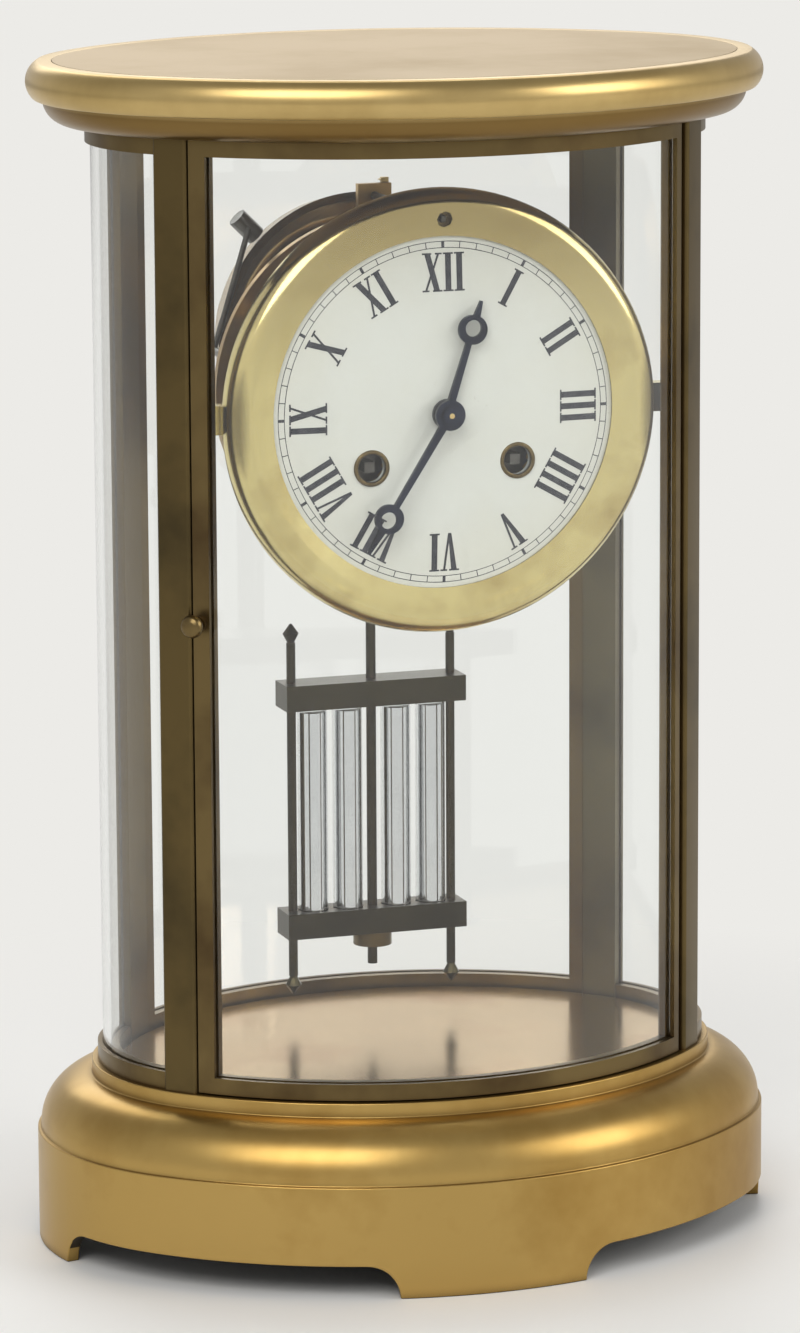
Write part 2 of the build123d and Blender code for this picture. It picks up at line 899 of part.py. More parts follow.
def dial_lug(side_x):
    """One lug: a root on the bezel's back, an arm, and a pad that seats on the post's inner face."""
    root_x = bezel_radius - lug_root
    low = dial_height - lug_height / 2
    high = dial_height + lug_height / 2
    pad_y = (post_depth + lug_pad_thickness / 2) * post_cosine - post_y
    arm_front = min(lug_back_y - lug_thickness, pad_y)
    arm_back = max(lug_back_y, pad_y)
    root = box_between((root_x, bezel_back_y - bezel_lip, low), (bezel_radius, lug_back_y, high))
    arm = box_between((root_x, arm_front, low), (post_x, arm_back, high))
    pad_face = Pos(-post_depth - lug_pad_thickness / 2, 0) * Rectangle(lug_pad_thickness, lug_pad_width)
    pad = post_frame(1, -1) * Pos(0, 0, low) * extrude(pad_face, lug_height)
    beyond = Pos(-post_depth + post_width, 0) * Rectangle(2 * post_width, 4 * post_width)
    keep_out = post_frame(1, -1) * Pos(0, 0, low - overrun) * extrude(beyond, lug_height + 2 * overrun)
    lug = root + (arm - keep_out) + pad
    hole = extrude(small_hole(screw_radius), lug_screw_length + overrun)
    lug = lug - lug_screw_place() * Pos(0, 0, -overrun) * hole
    if side_x < 0:
        return mirror(lug, Plane.YZ)
    return lug


def lug_screw_place():
    """The right lug's screw, seated on the pad and pointing out into the post."""
    plane = post_frame(1, -1) * Pos(-post_depth - lug_pad_thickness, screw_offset, dial_height)
    return plane * Rot(0, 90, 0)


def dial_screw(length):
    """A small cheese-head screw, head below and shank along +Z."""
    head = Pos(0, 0, -screw_head_height) * extrude(small_bar(screw_head_radius), screw_head_height)
    return head + extrude(small_bar(screw_radius), length)


def dial_screws():
    """Two screws through the lugs, and three from behind the front plate into the tabs."""
    right = lug_screw_place() * dial_screw(lug_screw_length)
    screws = [right, mirror(right, Plane.YZ)]
    for angle in TAB_ANGLES:
        x, z = screw_seat(angle)
        screws.append(Pos(x, plate_back_of_front_y, z) * Rot(90, 0, 0) * dial_screw(tab_screw_length))
    return Compound(screws)


def enamel_dial():
    """Crowned enamel disc with its three feet, two winding holes and centre hole."""
    rim = bezel_inner_radius + enamel_lap - enamel_fit
    crown_edge = bezel_inner_radius - enamel_fit
    outline = [(0, enamel_back_y), (rim, enamel_back_y), (rim, enamel_front_y)]
    for step in range(enamel_chords + 1):
        share = 1 - step / enamel_chords
        outline.append((crown_edge * share, enamel_front_y - enamel_crown * (1 - share**2)))
    dial = turned_along_depth(0, dial_height, Polyline(*outline, close=True))
    front = enamel_front_y - enamel_crown - overrun
    back = enamel_back_y + overrun
    dial = dial - round_rod(0, dial_height, centre_hole_radius, front, back)
    for side in (-1, 1):
        x, z = winding_place(side)
        dial = dial - round_rod(x, z, winding_hole_radius, front, back)
    for angle in DIAL_FOOT_ANGLES:
        x, z = around_dial(dial_foot_circle, angle)
        dial = dial + rod(x, z, dial_foot_radius, enamel_back_y, plate_back_of_front_y)
    return dial


def meeting_place(first, first_distance, second, second_distance, side):
    """The place that lies at two distances from two others; side picks left (+1) or right."""
    dx = second[0] - first[0]
    dz = second[1] - first[1]
    gap = hypot(dx, dz)
    along = (gap**2 + first_distance**2 - second_distance**2) / (2 * gap)
    across = side * sqrt(first_distance**2 - along**2)
    return first[0] + (along * dx - across * dz) / gap, first[1] + (along * dz + across * dx) / gap


def centre_distance(module, wheel, pinion):
    """The distance between the arbors of a meshing pair."""
    return module * (wheel + pinion) / 2


def stepped_place(start, distance, direction):
    """A place at a distance and direction in degrees from another."""
    return start[0] + distance * cos(radians(direction)), start[1] + distance * sin(radians(direction))


CENTRE = (0, dial_height)
GOING_BARREL = winding_place(1)
STRIKE_BARREL = winding_place(-1)
ESCAPE = (0, dial_height + escape_rise)
PALLET = (0, dial_height + pallet_rise)
INTERMEDIATE = meeting_place(
    CENTRE,
    centre_distance(intermediate_module, intermediate_teeth, centre_leaves),
    GOING_BARREL,
    centre_distance(barrel_module, barrel_teeth, intermediate_leaves),
    1,
)
THIRD = meeting_place(
    CENTRE,
    centre_distance(centre_module, centre_teeth, third_leaves),
    ESCAPE,
    centre_distance(third_module, third_teeth, escape_leaves),
    1,
)
MINUTE = (0, dial_height - centre_distance(motion_module, minute_teeth, cannon_leaves))
PIN = stepped_place(STRIKE_BARREL, centre_distance(barrel_module, barrel_teeth, pin_leaves), pin_direction)
WARNING = stepped_place(PIN, centre_distance(pin_module, pin_teeth, warning_leaves), warning_direction)
FLY = stepped_place(WARNING, centre_distance(warning_module, warning_teeth, fly_leaves), fly_direction)
HAMMER = (hammer_x, dial_height + hammer_rise)
BELL = (0, dial_height + bell_rise)
REGULATOR = (0, dial_height + regulator_radius)
HOUR_MODULE = 2 * (CENTRE[1] - MINUTE[1]) / (hour_teeth + minute_leaves)


def direction_to(start, end):
    """The direction in degrees from one place to another, seen from the front."""
    return degrees(atan2(end[1] - start[1], end[0] - start[0]))


def toothed_face(place, module, teeth, aim, gap_first=False):
    """A toothed outline with a tooth, or a gap, on the line towards its mate."""
    step = 360 / teeth
    tip = module * (teeth / 2 + addendum_share)
    root = module * (teeth / 2 - dedendum_share)
    start = direction_to(place, aim) + (step / 2 if gap_first else 0)
    corners = ((-root_half_share, root), (0, tip), (root_half_share, root))
    points = []
    for tooth in range(teeth):
        for share, radius in corners:
            points.append(stepped_place(place, radius, start + (tooth + share) * step))
    return make_face(Polyline(*points, close=True))


def crossings(place, root, count=4):
    """Windows between the spokes of a wheel."""
    inner = hub_radius + rim_width / 2
    outer = root - rim_width
    windows = []
    for spoke in range(count):
        middle = (spoke + 0.5) * 360 / count
        points = []
        for radius, side in ((inner, -1), (outer, -1), (outer, 0), (outer, 1), (inner, 1)):
            turn = side * (180 / count - degrees(spoke_width / 2 / radius))
            points.append(stepped_place(place, radius, middle + turn))
        windows.append(make_face(Polyline(*points, close=True)))
    return windows


def crossed_wheel(place, module, teeth, aim, front):
    """A thin wheel with teeth and crossings, whose front face is at one depth."""
    face = toothed_face(place, module, teeth, aim)
    face = face - crossings(place, module * (teeth / 2 - dedendum_share))
    return plate_of(face, front, front + wheel_thickness)


def pinion(place, module, leaves, aim, wheel_front):
    """A pinion as deep as pinion_length, centred on the wheel that drives it."""
    middle = wheel_front + wheel_thickness / 2
    face = toothed_face(place, module, leaves, aim, gap_first=True)
    return plate_of(face, middle - pinion_length / 2, middle + pinion_length / 2)


def plate_arbor(place, front_reach=0):
    """An arbor between the plates with a pivot in each."""
    inner_front = plate_back_of_front_y + end_shake
    inner_back = back_plate_y - end_shake
    return stepped_rod(
        place[0],
        place[1],
        (pivot_pin_radius, plate_front_y - front_reach, inner_front),
        (arbor_radius, inner_front, inner_back),
        (pivot_pin_radius, inner_back, back_plate_rear_y),
    )


def train_arbor(place, wheel, leaves):
    """One arbor with its wheel and its pinion as a single riveted piece."""
    return plate_arbor(place) + wheel + leaves


def intermediate_wheel():
    """Second wheel of the going train."""
    wheel = crossed_wheel(INTERMEDIATE, intermediate_module, intermediate_teeth, CENTRE, first_layer_y)
    leaves = pinion(INTERMEDIATE, barrel_module, intermediate_leaves, GOING_BARREL, barrel_rim_y)
    return train_arbor(INTERMEDIATE, wheel, leaves)


def centre_wheel():
    """Centre wheel, whose front pivot runs on through the dial to carry the hands."""
    wheel = crossed_wheel(CENTRE, centre_module, centre_teeth, THIRD, second_layer_y)
    leaves = pinion(CENTRE, intermediate_module, centre_leaves, INTERMEDIATE, first_layer_y)
    reach = plate_front_y - (minute_hand_y - hand_nut_height)
    return plate_arbor(CENTRE, front_reach=reach) + wheel + leaves


def third_wheel():
    """Third wheel."""
    wheel = crossed_wheel(THIRD, third_module, third_teeth, ESCAPE, third_layer_y)
    leaves = pinion(THIRD, centre_module, third_leaves, CENTRE, second_layer_y)
    return train_arbor(THIRD, wheel, leaves)


def escape_wheel():
    """Escape wheel with pointed, raked teeth."""
    points = []
    step = 360 / escape_teeth
    for tooth in range(escape_teeth):
        start = tooth * step
        points.append(stepped_place(ESCAPE, escape_radius, start))
        for share in escape_root_shares:
            points.append(stepped_place(ESCAPE, escape_radius - escape_tooth_depth, start + share * step))
    face = make_face(Polyline(*points, close=True)) - crossings(ESCAPE, escape_radius - escape_tooth_depth)
    wheel = plate_of(face, escape_layer_y, escape_layer_y + escape_thickness)
    leaves = pinion(ESCAPE, third_module, escape_leaves, THIRD, third_layer_y)
    return train_arbor(ESCAPE, wheel, leaves)


def barrel(place, aim):
    """A spring barrel: toothed rim and closed drum, free on its winding arbor."""
    bore = Pos(*place) * small_hole(winding_arbor_radius + running_clearance)
    rim_face = toothed_face(place, barrel_module, barrel_teeth, aim) - bore
    rim_back = barrel_rim_y + barrel_rim_thickness
    drum_face = Pos(*place) * Circle(barrel_drum_radius) - bore
    drum = plate_of(drum_face, rim_back, rim_back + barrel_drum_length)
    return plate_of(rim_face, barrel_rim_y, rim_back) + drum


def winding_arbor(place):
    """A barrel arbor with its ratchet wheel in front of the plate and a square for the key."""
    inner_back = back_plate_y - end_shake
    ratchet_back = plate_front_y - ratchet_front_gap
    ratchet_front = ratchet_back - ratchet_thickness
    shaft = stepped_rod(
        place[0],
        place[1],
        (winding_arbor_radius, ratchet_front, inner_back),
        (winding_back_pivot, inner_back, back_plate_rear_y),
        bearing=1,
    )
    square = plate_of(Pos(*place) * Rectangle(winding_square, winding_square), winding_end_y, ratchet_front)
    points = []
    for tooth in range(ratchet_teeth):
        start = -90 + tooth * 360 / ratchet_teeth
        points.append(stepped_place(place, ratchet_radius, start))
        points.append(stepped_place(place, ratchet_radius - ratchet_tooth_depth, start))
    ratchet = plate_of(make_face(Polyline(*points, close=True)), ratchet_front, ratchet_back)
    return shaft + square + ratchet


def click_stud_place(place, side):
    """Where a click is pivoted on the front plate, below its ratchet and towards the rim."""
    return place[0] + side * click_arm, place[1] - ratchet_radius - click_gap


def click(place, side):
    """The click of one ratchet: an eye on a stud and a pawl that reaches under the teeth."""
    stud = click_stud_place(place, side)
    tip = (place[0], place[1] - ratchet_radius - click_gap)
    front = plate_front_y - ratchet_front_gap - ratchet_thickness
    eye = Pos(*stud) * small_bar(click_width / 2)
    arm = make_face(
        Polyline(
            tip,
            (tip[0] + side * click_width / 2, tip[1] - click_width / 2),
            (stud[0], stud[1] - click_width / 2),
            (stud[0], stud[1]),
            close=True,
        )
    )
    face = eye + arm - Pos(*stud) * small_hole(click_stud_radius + running_clearance)
    return plate_of(face, front, front + ratchet_thickness)


def front_plate():
    """Front movement plate with pivot holes, the minute stud and two click studs."""
    face = Pos(0, dial_height) * Circle(plate_radius)
    pivots = (CENTRE, INTERMEDIATE, THIRD, ESCAPE, PALLET, PIN, WARNING, FLY, HAMMER)
    face = face - [Pos(*place) * small_hole(pivot_pin_radius + running_clearance) for place in pivots]
    for place in (GOING_BARREL, STRIKE_BARREL):
        face = face - Pos(*place) * small_hole(winding_arbor_radius + running_clearance)
    for angle in PILLAR_ANGLES:
        face = face - Pos(*around_dial(pillar_circle, angle)) * small_hole(pillar_tenon_radius)
    for angle in DIAL_FOOT_ANGLES:
        foot_hole = small_hole(dial_foot_radius + running_clearance)
        face = face - Pos(*around_dial(dial_foot_circle, angle)) * foot_hole
    for angle in TAB_ANGLES:
        face = face - Pos(*screw_seat(angle)) * small_hole(screw_radius)
    plate = plate_of(face, plate_front_y, plate_back_of_front_y)
    plate = plate + rod(MINUTE[0], MINUTE[1], minute_stud_radius, enamel_back_y + motion_gap, plate_front_y)
    for place, side in ((GOING_BARREL, 1), (STRIKE_BARREL, -1)):
        stud = click_stud_place(place, side)
        reach = ratchet_front_gap + ratchet_thickness
        plate = plate + rod(stud[0], stud[1], click_stud_radius, plate_front_y - reach, plate_front_y)
    return plate


def back_plate():
    """Back movement plate with pivot holes."""
    face = Pos(0, dial_height) * Circle(plate_radius)
    pivots = (CENTRE, INTERMEDIATE, THIRD, ESCAPE, PIN, WARNING, FLY)
    face = face - [Pos(*place) * small_hole(pivot_pin_radius + running_clearance) for place in pivots]
    for place in (PALLET, HAMMER):
        face = face - Pos(*place) * small_hole(arbor_radius + running_clearance)
    for place in (GOING_BARREL, STRIKE_BARREL):
        face = face - Pos(*place) * small_hole(winding_back_pivot + running_clearance)
    for angle in PILLAR_ANGLES:
        face = face - Pos(*around_dial(pillar_circle, angle)) * small_hole(pillar_tenon_radius)
    return plate_of(face, back_plate_y, back_plate_rear_y)


def pillar_pin(x, z):
    """One pin through a pillar's back tenon, against the back plate."""
    start = Pos(x - pillar_pin_length / 2, back_plate_rear_y + pillar_pin_radius, z)
    return start * Rot(0, 90, 0) * extrude(small_bar(pillar_pin_radius), pillar_pin_length)


def plate_pillars():
    """Four pillars, riveted in the front plate and pinned behind the back plate."""
    pillars = []
    for angle in PILLAR_ANGLES:
        x, z = around_dial(pillar_circle, angle)
        pillar = stepped_rod(
            x,
            z,
            (pillar_tenon_radius, plate_front_y - pillar_tenon_reach, plate_back_of_front_y),
            (pillar_radius, plate_back_of_front_y, back_plate_y),
            (pillar_tenon_radius, back_plate_y, back_plate_rear_y + pillar_back_reach),
            bearing=None,
        )
        pillars.append(pillar - pillar_pin(x, z))
    return Compound(pillars)


def pillar_pins():
    """Four taper pins that hold the back plate on its pillars."""
    return Compound([pillar_pin(*around_dial(pillar_circle, angle)) for angle in PILLAR_ANGLES])


def winding_clicks():
    """Both clicks, one to each ratchet."""
    return Compound([click(GOING_BARREL, 1), click(STRIKE_BARREL, -1)])


def pallet_anchor():
    """Anchor, arbor and crutch as one piece, hung on the line of the pendulum's bend."""
    inner_front = plate_back_of_front_y + end_shake
    arbor_back = cock_front_y - end_shake
    arbor = stepped_rod(
        PALLET[0],
        PALLET[1],
        (pivot_pin_radius, plate_front_y, inner_front),
        (arbor_radius, inner_front, arbor_back),
        (pivot_pin_radius, arbor_back, cock_front_y + cock_thickness),
    )
    tip_z = PALLET[1] - pallet_drop
    points = [
        (-pallet_half_span, tip_z),
        (-pallet_half_span - pallet_thickness, tip_z + pallet_thickness / 2),
        (-pallet_half_span, PALLET[1]),
        (0, PALLET[1] + hub_radius),
        (pallet_half_span, PALLET[1]),
        (pallet_half_span + pallet_thickness, tip_z + pallet_thickness / 2),
        (pallet_half_span, tip_z),
        (pallet_half_span - pallet_thickness / 2, PALLET[1] - hub_radius),
        (0, PALLET[1] - hub_radius / 2),
        (-pallet_half_span + pallet_thickness / 2, PALLET[1] - hub_radius),
    ]
    middle = escape_layer_y + escape_thickness / 2
    anchor = plate_of(
        make_face(Polyline(*points, close=True)), middle - pallet_thickness / 2, middle + pallet_thickness / 2
    )
    foot_z = PALLET[1] - crutch_length
    crutch_back = crutch_front_y + crutch_thickness
    half = crutch_width / 2
    crutch = box_between((-half, crutch_front_y, foot_z), (half, crutch_back, PALLET[1]))
    crutch = crutch + rod(PALLET[0], PALLET[1], crutch_width, crutch_front_y, crutch_back)
    inner = centre_rod_radius + fork_slot_clearance
    outer = inner + fork_side
    fork = box_between((-outer, crutch_front_y, foot_z - fork_depth), (outer, crutch_back, foot_z))
    for side in (-1, 1):
        low = (min(side * inner, side * outer), crutch_front_y, foot_z - fork_depth)
        high = (max(side * inner, side * outer), suspension_y + fork_reach, foot_z)
        fork = fork + box_between(low, high)
    return arbor + anchor + crutch + fork


def back_cock():
    """The cock behind the movement: it bears the pallet arbor, the regulator and the suspension."""
    low = PALLET[1] - cock_drop
    top = PALLET[1] + cock_top
    outline = make_face(
        Polyline(
            (-cock_half_width, low),
            (cock_half_width, low),
            (cock_half_width, PALLET[1]),
            (cock_arm_width / 2, PALLET[1] + cock_drop),
            (cock_arm_width / 2, top),
            (-cock_arm_width / 2, top),
            (-cock_arm_width / 2, PALLET[1] + cock_drop),
            (-cock_half_width, PALLET[1]),
            close=True,
        )
    )
    outline = outline - Pos(*PALLET) * Circle(pivot_pin_radius + running_clearance)
    outline = outline - Pos(*REGULATOR) * small_hole(regulator_arbor_radius + running_clearance)
    back = cock_front_y + cock_thickness
    cock = plate_of(outline, cock_front_y, back)
    for side in (-1, 1):
        edge = side * cock_half_width
        inner = side * (cock_half_width - cock_foot_width)
        foot_low = (min(edge, inner), back_plate_rear_y, low)
        foot_high = (max(edge, inner), cock_front_y, PALLET[1])
        cock = cock + box_between(foot_low, foot_high)
    arm_low = (-spring_arm_width / 2, back, PALLET[1] + cock_arm_low)
    arm_high = (spring_arm_width / 2, chops_back_y, PALLET[1] + cock_arm_high)
    cock = cock + box_between(arm_low, arm_high)
    slit_low = (-strip_thickness / 2, suspension_y - strip_width / 2, arm_low[2] - overrun)
    slit_high = (strip_thickness / 2, suspension_y + strip_width / 2, arm_high[2] + overrun)
    return cock - box_between(slit_low, slit_high)


def spring_strip(low, high):
    """A length of the suspension spring, thin along the swing."""
    half = strip_width / 2
    return box_between(
        (-strip_thickness / 2, suspension_y - half, low), (strip_thickness / 2, suspension_y + half, high)
    )


def suspension_spring_top():
    """The fixed upper part of the spring, from the bend line to the cock."""
    return spring_strip(PALLET[1], PALLET[1] + cock_arm_high)


def suspension_spring():
    """The swinging lower part of the spring with its brass block and cross pin."""
    block_top = PALLET[1] - strip_length + lower_block_height / 2
    block_low = block_top - lower_block_height
    half_width = lower_block_width / 2
    half_depth = lower_block_depth / 2
    block = box_between(
        (-half_width, suspension_y - half_depth, block_low),
        (half_width, suspension_y + half_depth, block_top),
    )
    reach = half_depth + clevis_gap + clevis_wall
    pin = rod(0, PALLET[1] - strip_length, hook_pin_radius, suspension_y - reach, suspension_y + reach)
    return spring_strip(PALLET[1] - strip_length, PALLET[1]) + block + pin


def regulator_slider():
    """The sliding chops that set the bend line, with the rack that lifts them."""
    low = PALLET[1] + chops_rise
    high = low + chops_height
    half = chops_width / 2
    chops = box_between((-half, chops_front_y, low), (half, chops_back_y, high))
    slit = strip_thickness / 2 + slit_clearance
    slit_half = strip_width / 2 + slit_end_room
    chops = chops - box_between(
        (-slit, suspension_y - slit_half, low - overrun), (slit, suspension_y + slit_half, high + overrun)
    )
    pitch_x = regulator_module * regulator_leaves / 2
    root_x = pitch_x + regulator_module * dedendum_share
    tip_x = pitch_x - regulator_module * addendum_share
    spacing = regulator_module * pi
    points = [(root_x + rack_width, high), (root_x, high)]
    for tooth in range(rack_teeth):
        middle = REGULATOR[1] + (tooth - (rack_teeth - 1) / 2) * spacing
        points.append((root_x, middle - root_half_share * spacing))
        points.append((tip_x, middle))
        points.append((root_x, middle + root_half_share * spacing))
    top = REGULATOR[1] + rack_teeth * spacing / 2
    points.append((root_x, top))
    points.append((root_x + rack_width, top))
    rack_front = chops_front_y + rack_gap
    rack = plate_of(make_face(Polyline(*points, close=True)), rack_front, rack_front + rack_thickness)
    return chops + rack


def regulator_arbor():
    """The long arbor from the square above XII to the pinion on the regulator's rack."""
    back = chops_front_y + rack_gap + rack_thickness
    shaft = round_rod(REGULATOR[0], REGULATOR[1], regulator_arbor_radius, regulator_end_y, back)
    square_end = regulator_end_y - regulator_hole_radius / 2
    square_face = Pos(*REGULATOR) * Rectangle(regulator_square, regulator_square)
    square = plate_of(square_face, square_end, regulator_end_y)
    face = toothed_face(
        REGULATOR, regulator_module, regulator_leaves, (REGULATOR[0] + overrun, REGULATOR[1]), gap_first=True
    )
    return shaft + square + plate_of(face, chops_front_y + rack_gap, back)


def cannon_pinion():
    """Cannon pinion: leaves behind the dial and a tube out to the minute hand."""
    back = plate_front_y - end_shake
    leaves_back = plate_front_y - motion_front_gap
    leaves = plate_of(
        toothed_face(CENTRE, motion_module, cannon_leaves, MINUTE, gap_first=True),
        leaves_back - motion_thickness,
        leaves_back,
    )
    tube = rod(CENTRE[0], CENTRE[1], cannon_radius, minute_hand_y, back)
    front = minute_hand_y - overrun
    return leaves + tube - rod_hole(CENTRE[0], CENTRE[1], cannon_bore, front, back + overrun)


def minute_wheel():
    """Minute wheel and its pinion, on the stud below the centre."""
    back = plate_front_y - end_shake
    wheel_back = plate_front_y - motion_front_gap
    wheel_front = wheel_back - motion_thickness
    front = wheel_front - motion_gap - motion_thickness
    wheel = plate_of(toothed_face(MINUTE, motion_module, minute_teeth, CENTRE), wheel_front, wheel_back)
    leaf_face = toothed_face(MINUTE, HOUR_MODULE, minute_leaves, CENTRE, gap_first=True)
    leaves = plate_of(leaf_face, front, wheel_front)
    hub = round_rod(MINUTE[0], MINUTE[1], 2 * minute_stud_radius, wheel_back, back)
    bore_radius = minute_stud_radius + running_clearance
    bore = rod_hole(MINUTE[0], MINUTE[1], bore_radius, front - overrun, back + overrun)
    return wheel + leaves + hub - bore


def hour_wheel():
    """Hour wheel with the pipe that carries the hour hand."""
    back = plate_front_y - motion_front_gap - motion_thickness - motion_gap
    front = back - motion_thickness
    wheel = plate_of(toothed_face(CENTRE, HOUR_MODULE, hour_teeth, MINUTE), front, back)
    pipe = rod(CENTRE[0], CENTRE[1], hour_pipe_radius, hour_hand_y, front)
    bore = rod_hole(CENTRE[0], CENTRE[1], hour_pipe_bore, hour_hand_y - overrun, back + overrun)
    return wheel + pipe - bore


def hand_face(length, bore, turn):
    """A hand in the moon pattern, laid out upright and turned clockwise to its reading."""
    moon_at = length * moon_share
    half = hand_width / 2
    blade = make_face(
        Polyline(
            (-half, 0),
            (half, 0),
            (half * hand_taper_share, moon_at),
            (-half * hand_taper_share, moon_at),
            close=True,
        )
    )
    tip = make_face(
        Polyline(
            (-half, moon_at + moon_hole_radius),
            (half, moon_at + moon_hole_radius),
            (half * hand_point_share, length),
            (-half * hand_point_share, length),
            close=True,
        )
    )
    moon = Pos(0, moon_at) * Circle(moon_radius)
    opening = Pos(0, moon_at + (moon_radius - moon_hole_radius) * moon_hole_rise_share) * Circle(moon_hole_radius)
    outline = Circle(hand_hub_radius) + blade + moon
    outline = outline - opening + (tip - opening) - Circle(bore)
    return Pos(*CENTRE) * Rot(0, 0, -turn) * outline


def minute_hand():
    """Long moon hand on the cannon pinion."""
    face = hand_face(minute_hand_length, cannon_radius, minute_hand_minutes * MINUTE_ANGLE)
    return plate_of(face, minute_hand_y, minute_hand_y + hand_thickness)


def hour_hand():
    """Short moon hand on the hour wheel's pipe."""
    face = hand_face(hour_hand_length, hour_pipe_radius, hour_hand_hours * HOUR_ANGLE)
    return plate_of(face, hour_hand_y, hour_hand_y + hand_thickness)


def hand_nut():
    """Small round nut that keeps the minute hand on."""
    face = Pos(*CENTRE) * (Circle(hand_nut_radius) - small_hole(pivot_pin_radius))
    return plate_of(face, minute_hand_y - hand_nut_height, minute_hand_y)


def pin_wheel():
    """Second wheel of the striking train, with eight pins that lift the hammer."""
    wheel = crossed_wheel(PIN, pin_module, pin_teeth, WARNING, first_layer_y)
    leaves = pinion(PIN, barrel_module, pin_leaves, STRIKE_BARREL, barrel_rim_y)
    piece = train_arbor(PIN, wheel, leaves)
    for pin in range(pin_count):
        x, z = stepped_place(PIN, pin_circle, pin * 360 / pin_count)
        piece = piece + rod(x, z, pin_radius, first_layer_y - pin_reach, first_layer_y + wheel_thickness)
    return piece


def warning_wheel():
    """Third wheel of the striking train."""
    wheel = crossed_wheel(WARNING, warning_module, warning_teeth, FLY, second_layer_y)
    leaves = pinion(WARNING, pin_module, warning_leaves, PIN, first_layer_y)
    return train_arbor(WARNING, wheel, leaves)


def fly():
    """Air brake of the striking train: a pinion and a two-winged vane."""
    leaves = pinion(FLY, warning_module, fly_leaves, WARNING, second_layer_y)
    vane = Pos(*FLY) * Rot(0, 0, fly_direction) * Rectangle(2 * fly_half_width, fly_thickness)
    return train_arbor(FLY, plate_of(vane, fly_front_y, fly_front_y + fly_length), leaves)


def hammer():
    """Hammer arbor with its lifting tail, rod and head."""
    inner_front = plate_back_of_front_y + end_shake
    back = hammer_rod_y + hammer_rod_radius
    arbor = stepped_rod(
        HAMMER[0],
        HAMMER[1],
        (pivot_pin_radius, plate_front_y, inner_front),
        (arbor_radius, inner_front, back),
    )
    tail_length = hypot(PIN[0] - HAMMER[0], PIN[1] - HAMMER[1]) - pin_circle - pin_radius - hammer_tail_gap
    tail = Pos(*HAMMER) * Rot(0, 0, direction_to(HAMMER, PIN)) * Pos(tail_length / 2, 0)
    tail_face = tail * Rectangle(tail_length, hammer_tail_width)
    tail_back = first_layer_y - running_clearance
    tail_piece = plate_of(tail_face, tail_back - hammer_tail_depth, tail_back)
    reach = bell_radius + hammer_gap
    near = stepped_place(BELL, reach, hammer_side)
    middle = stepped_place(BELL, reach + hammer_head_length / 2, hammer_side)
    run = hypot(middle[0] - HAMMER[0], middle[1] - HAMMER[1])
    lean = radians(direction_to(HAMMER, middle))
    start = Plane(origin=(HAMMER[0], hammer_rod_y, HAMMER[1]), z_dir=(cos(lean), 0, sin(lean)))
    hammer_rod = start.location * extrude(small_bar(hammer_rod_radius), run)
    away = radians(hammer_side)
    head_place = Plane(origin=(near[0], hammer_y, near[1]), z_dir=(cos(away), 0, sin(away)))
    head = head_place.location * extrude(small_bar(hammer_head_radius), hammer_head_length)
    return arbor + tail_piece + hammer_rod + head


def bell():
    """Cup bell, mouth towards the movement, with a hole for its stud."""
    crown = bell_mouth_y + bell_depth
    corner = bell_depth * bell_corner_share
    outer = [
        (bell_radius, bell_mouth_y),
        (bell_radius - bell_flare, bell_mouth_y + corner),
        (bell_radius - bell_shoulder, crown - bell_flare),
        (bell_crown_radius, crown),
    ]
    inner = [
        (bell_radius - bell_wall, bell_mouth_y),
        (bell_radius - bell_flare - bell_wall, bell_mouth_y + corner - bell_wall / 2),
        (bell_radius - bell_shoulder - bell_wall / 2, crown - bell_flare - bell_wall),
        (bell_crown_radius, crown - bell_wall),
    ]
    points = outer + [(bell_stud_radius, crown), (bell_stud_radius, crown - bell_wall)] + inner[::-1]
    return turned_along_depth(BELL[0], BELL[1], Polyline(*points, close=True))


def bell_stand():
    """Bell stand: pillar from the back plate, arm inside the bell, stud, and nut on the crown."""
    crown = bell_mouth_y + bell_depth
    arm_back = crown - bell_wall - bell_shoulder_radius / 2
    arm_front = arm_back - bell_arm_thickness
    pillar = rod(bell_stand_x, BELL[1], bell_stand_radius, back_plate_rear_y, arm_back)
    half = bell_arm_height / 2
    arm = box_between((0, arm_front, BELL[1] - half), (bell_stand_x, arm_back, BELL[1] + half))
    stud = stepped_rod(
        BELL[0],
        BELL[1],
        (bell_shoulder_radius, arm_front, crown - bell_wall),
        (bell_stud_radius, crown - bell_wall, crown),
        (bell_cap_radius, crown, crown + bell_cap_height),
        bearing=None,
    )
    foot_back = back_plate_rear_y + bell_foot_height
    foot = rod(bell_stand_x, BELL[1], 2 * bell_stand_radius, back_plate_rear_y, foot_back)
    return pillar + arm + stud + foot


bar_top = bob_height + bar_spacing / 2
bar_bottom = bob_height - bar_spacing / 2
vial_bottom_z = bar_bottom + bar_height / 2 - vial_seat
vial_top_z = bar_top - bar_height / 2 + vial_seat
VIAL_PLACES = (-vial_outer_x, -vial_inner_x, vial_inner_x, vial_outer_x)


